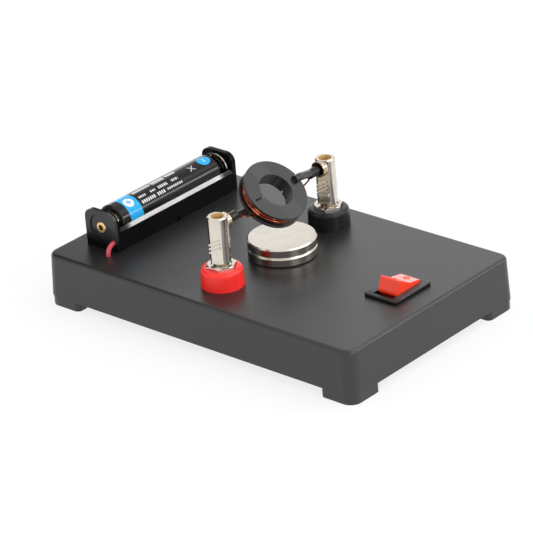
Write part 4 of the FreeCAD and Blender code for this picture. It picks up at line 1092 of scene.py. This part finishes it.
def light_room(scene, surround):
    """White where it is seen, and softer on matt surfaces."""
    world = bpy.data.worlds.new("pale_room")
    world.use_nodes = True
    tree = world.node_tree
    background = tree.nodes["Background"]
    background.inputs["Color"].default_value = (1, 1, 1, 1)
    strength = ramp(seen_rays(tree), 0.0, 1.0, surround, 1.0)
    tree.links.new(strength.socket, background.inputs["Strength"])
    scene.world = world


def add_sheet(name, half, material):
    """A flat square of the stage, which isn't part of the motor."""
    mesh = bmesh.new()
    bmesh.ops.create_grid(mesh, x_segments=2, y_segments=2, size=half)
    data = bpy.data.meshes.new(name)
    mesh.to_mesh(data)
    mesh.free()
    data.materials.append(material)
    sheet = bpy.data.objects.new(name, data)
    bpy.context.scene.collection.objects.link(sheet)
    return sheet


def add_flag():
    """A dark card beside the holder, which shows only in what the glossy pieces reflect."""
    dark = Surface("dark_flag", roughness=0.9)
    dark.shader.inputs["Base Color"].default_value = (0.01, 0.01, 0.01, 1)
    flag = add_sheet("flag", FLAG_HALF, dark.material)
    flag.location = FLAG_PLACE
    flag.rotation_euler = (0, math.radians(90), 0)
    flag.scale = FLAG_SHAPE
    flag.visible_camera = False
    flag.visible_diffuse = False
    flag.visible_shadow = False


def add_lamp(name, place, size, watts):
    """A soft rectangular lamp that faces the motor."""
    data = bpy.data.lights.new(name, "AREA")
    data.shape = "RECTANGLE"
    data.size, data.size_y = size
    data.energy = watts
    lamp = bpy.data.objects.new(name, data)
    lamp.location = place
    facing = Vector(LAMP_AIM) - Vector(place)
    lamp.rotation_euler = facing.to_track_quat("-Z", "Y").to_euler()
    bpy.context.scene.collection.objects.link(lamp)


class MotorSetStage(MotorOperator, bpy.types.Operator):
    """Pale floor, soft lamps and the camera."""

    bl_idname = "motor.set_stage"
    bl_label = "Stage"

    def execute(self, context):
        stage = context.scene.motor_stage
        floor = add_sheet("floor", 3.0, pale_floor(context.scene.motor_finish.floor))
        floor.location.z = -0.03 * MM
        add_flag()
        light_room(context.scene, stage.surround)
        for name, place, size in LAMPS:
            add_lamp(name + "_lamp", place, size, getattr(stage, name))
        self.set_camera(context.scene, stage)
        context.scene.view_settings.view_transform = "Standard"
        return {"FINISHED"}

    def set_camera(self, scene, stage):
        data = bpy.data.cameras.new("camera")
        data.sensor_width = 36.0
        data.lens = stage.lens
        data.clip_end = 20.0
        camera = bpy.data.objects.new("camera", data)
        scene.collection.objects.link(camera)
        level_reach = math.cos(stage.elevation)
        back = Vector(
            (
                math.sin(stage.azimuth) * level_reach,
                -math.cos(stage.azimuth) * level_reach,
                math.sin(stage.elevation),
            )
        )
        camera.location = back * stage.distance
        forward = Vector(stage.target) - camera.location
        level = forward.to_track_quat("-Z", "Y")
        camera.rotation_mode = "QUATERNION"
        camera.rotation_quaternion = level @ Euler((0, 0, stage.roll)).to_quaternion()
        scene.camera = camera


# ---------------------------------------------------------------------------------------
# Panel and registration
# ---------------------------------------------------------------------------------------

OPERATORS = (
    MotorDressTray,
    MotorDressTerminals,
    MotorDressMagnets,
    MotorDressRotor,
    MotorWindCoil,
    MotorDressHolder,
    MotorDressCell,
    MotorDressLeads,
    MotorDressSwitch,
    MotorSetStage,
)


class MotorPanel(bpy.types.Panel):
    """Lists the motor's settings and the steps that dress it."""

    bl_idname = "VIEW3D_PT_motor"
    bl_label = "Demonstration motor"
    bl_space_type = "VIEW_3D"
    bl_region_type = "UI"
    bl_category = "Motor"

    def draw(self, context):
        for name in SETTINGS:
            column = self.layout.box().column()
            group = getattr(context.scene, name)
            for setting in group.bl_rna.properties.keys():
                if setting not in ("rna_type", "name"):
                    column.prop(group, setting)
        for operator in OPERATORS:
            self.layout.operator(operator.bl_idname)


CLASSES = (*SETTINGS.values(), *OPERATORS, MotorPanel)


def register():
    for item in CLASSES:
        bpy.utils.register_class(item)
    for name, group in SETTINGS.items():
        setattr(bpy.types.Scene, name, bpy.props.PointerProperty(type=group))


def unregister():
    for name in SETTINGS:
        delattr(bpy.types.Scene, name)
    for item in reversed(CLASSES):
        bpy.utils.unregister_class(item)


def main():
    register()
    bpy.ops.motor.dress_tray()
    bpy.ops.motor.dress_terminals()
    bpy.ops.motor.dress_magnets()
    bpy.ops.motor.dress_rotor()
    bpy.ops.motor.wind_coil()
    bpy.ops.motor.dress_holder()
    bpy.ops.motor.dress_cell()
    bpy.ops.motor.dress_leads()
    bpy.ops.motor.dress_switch()
    bpy.ops.motor.set_stage()


if __name__ == "__main__":
    main()
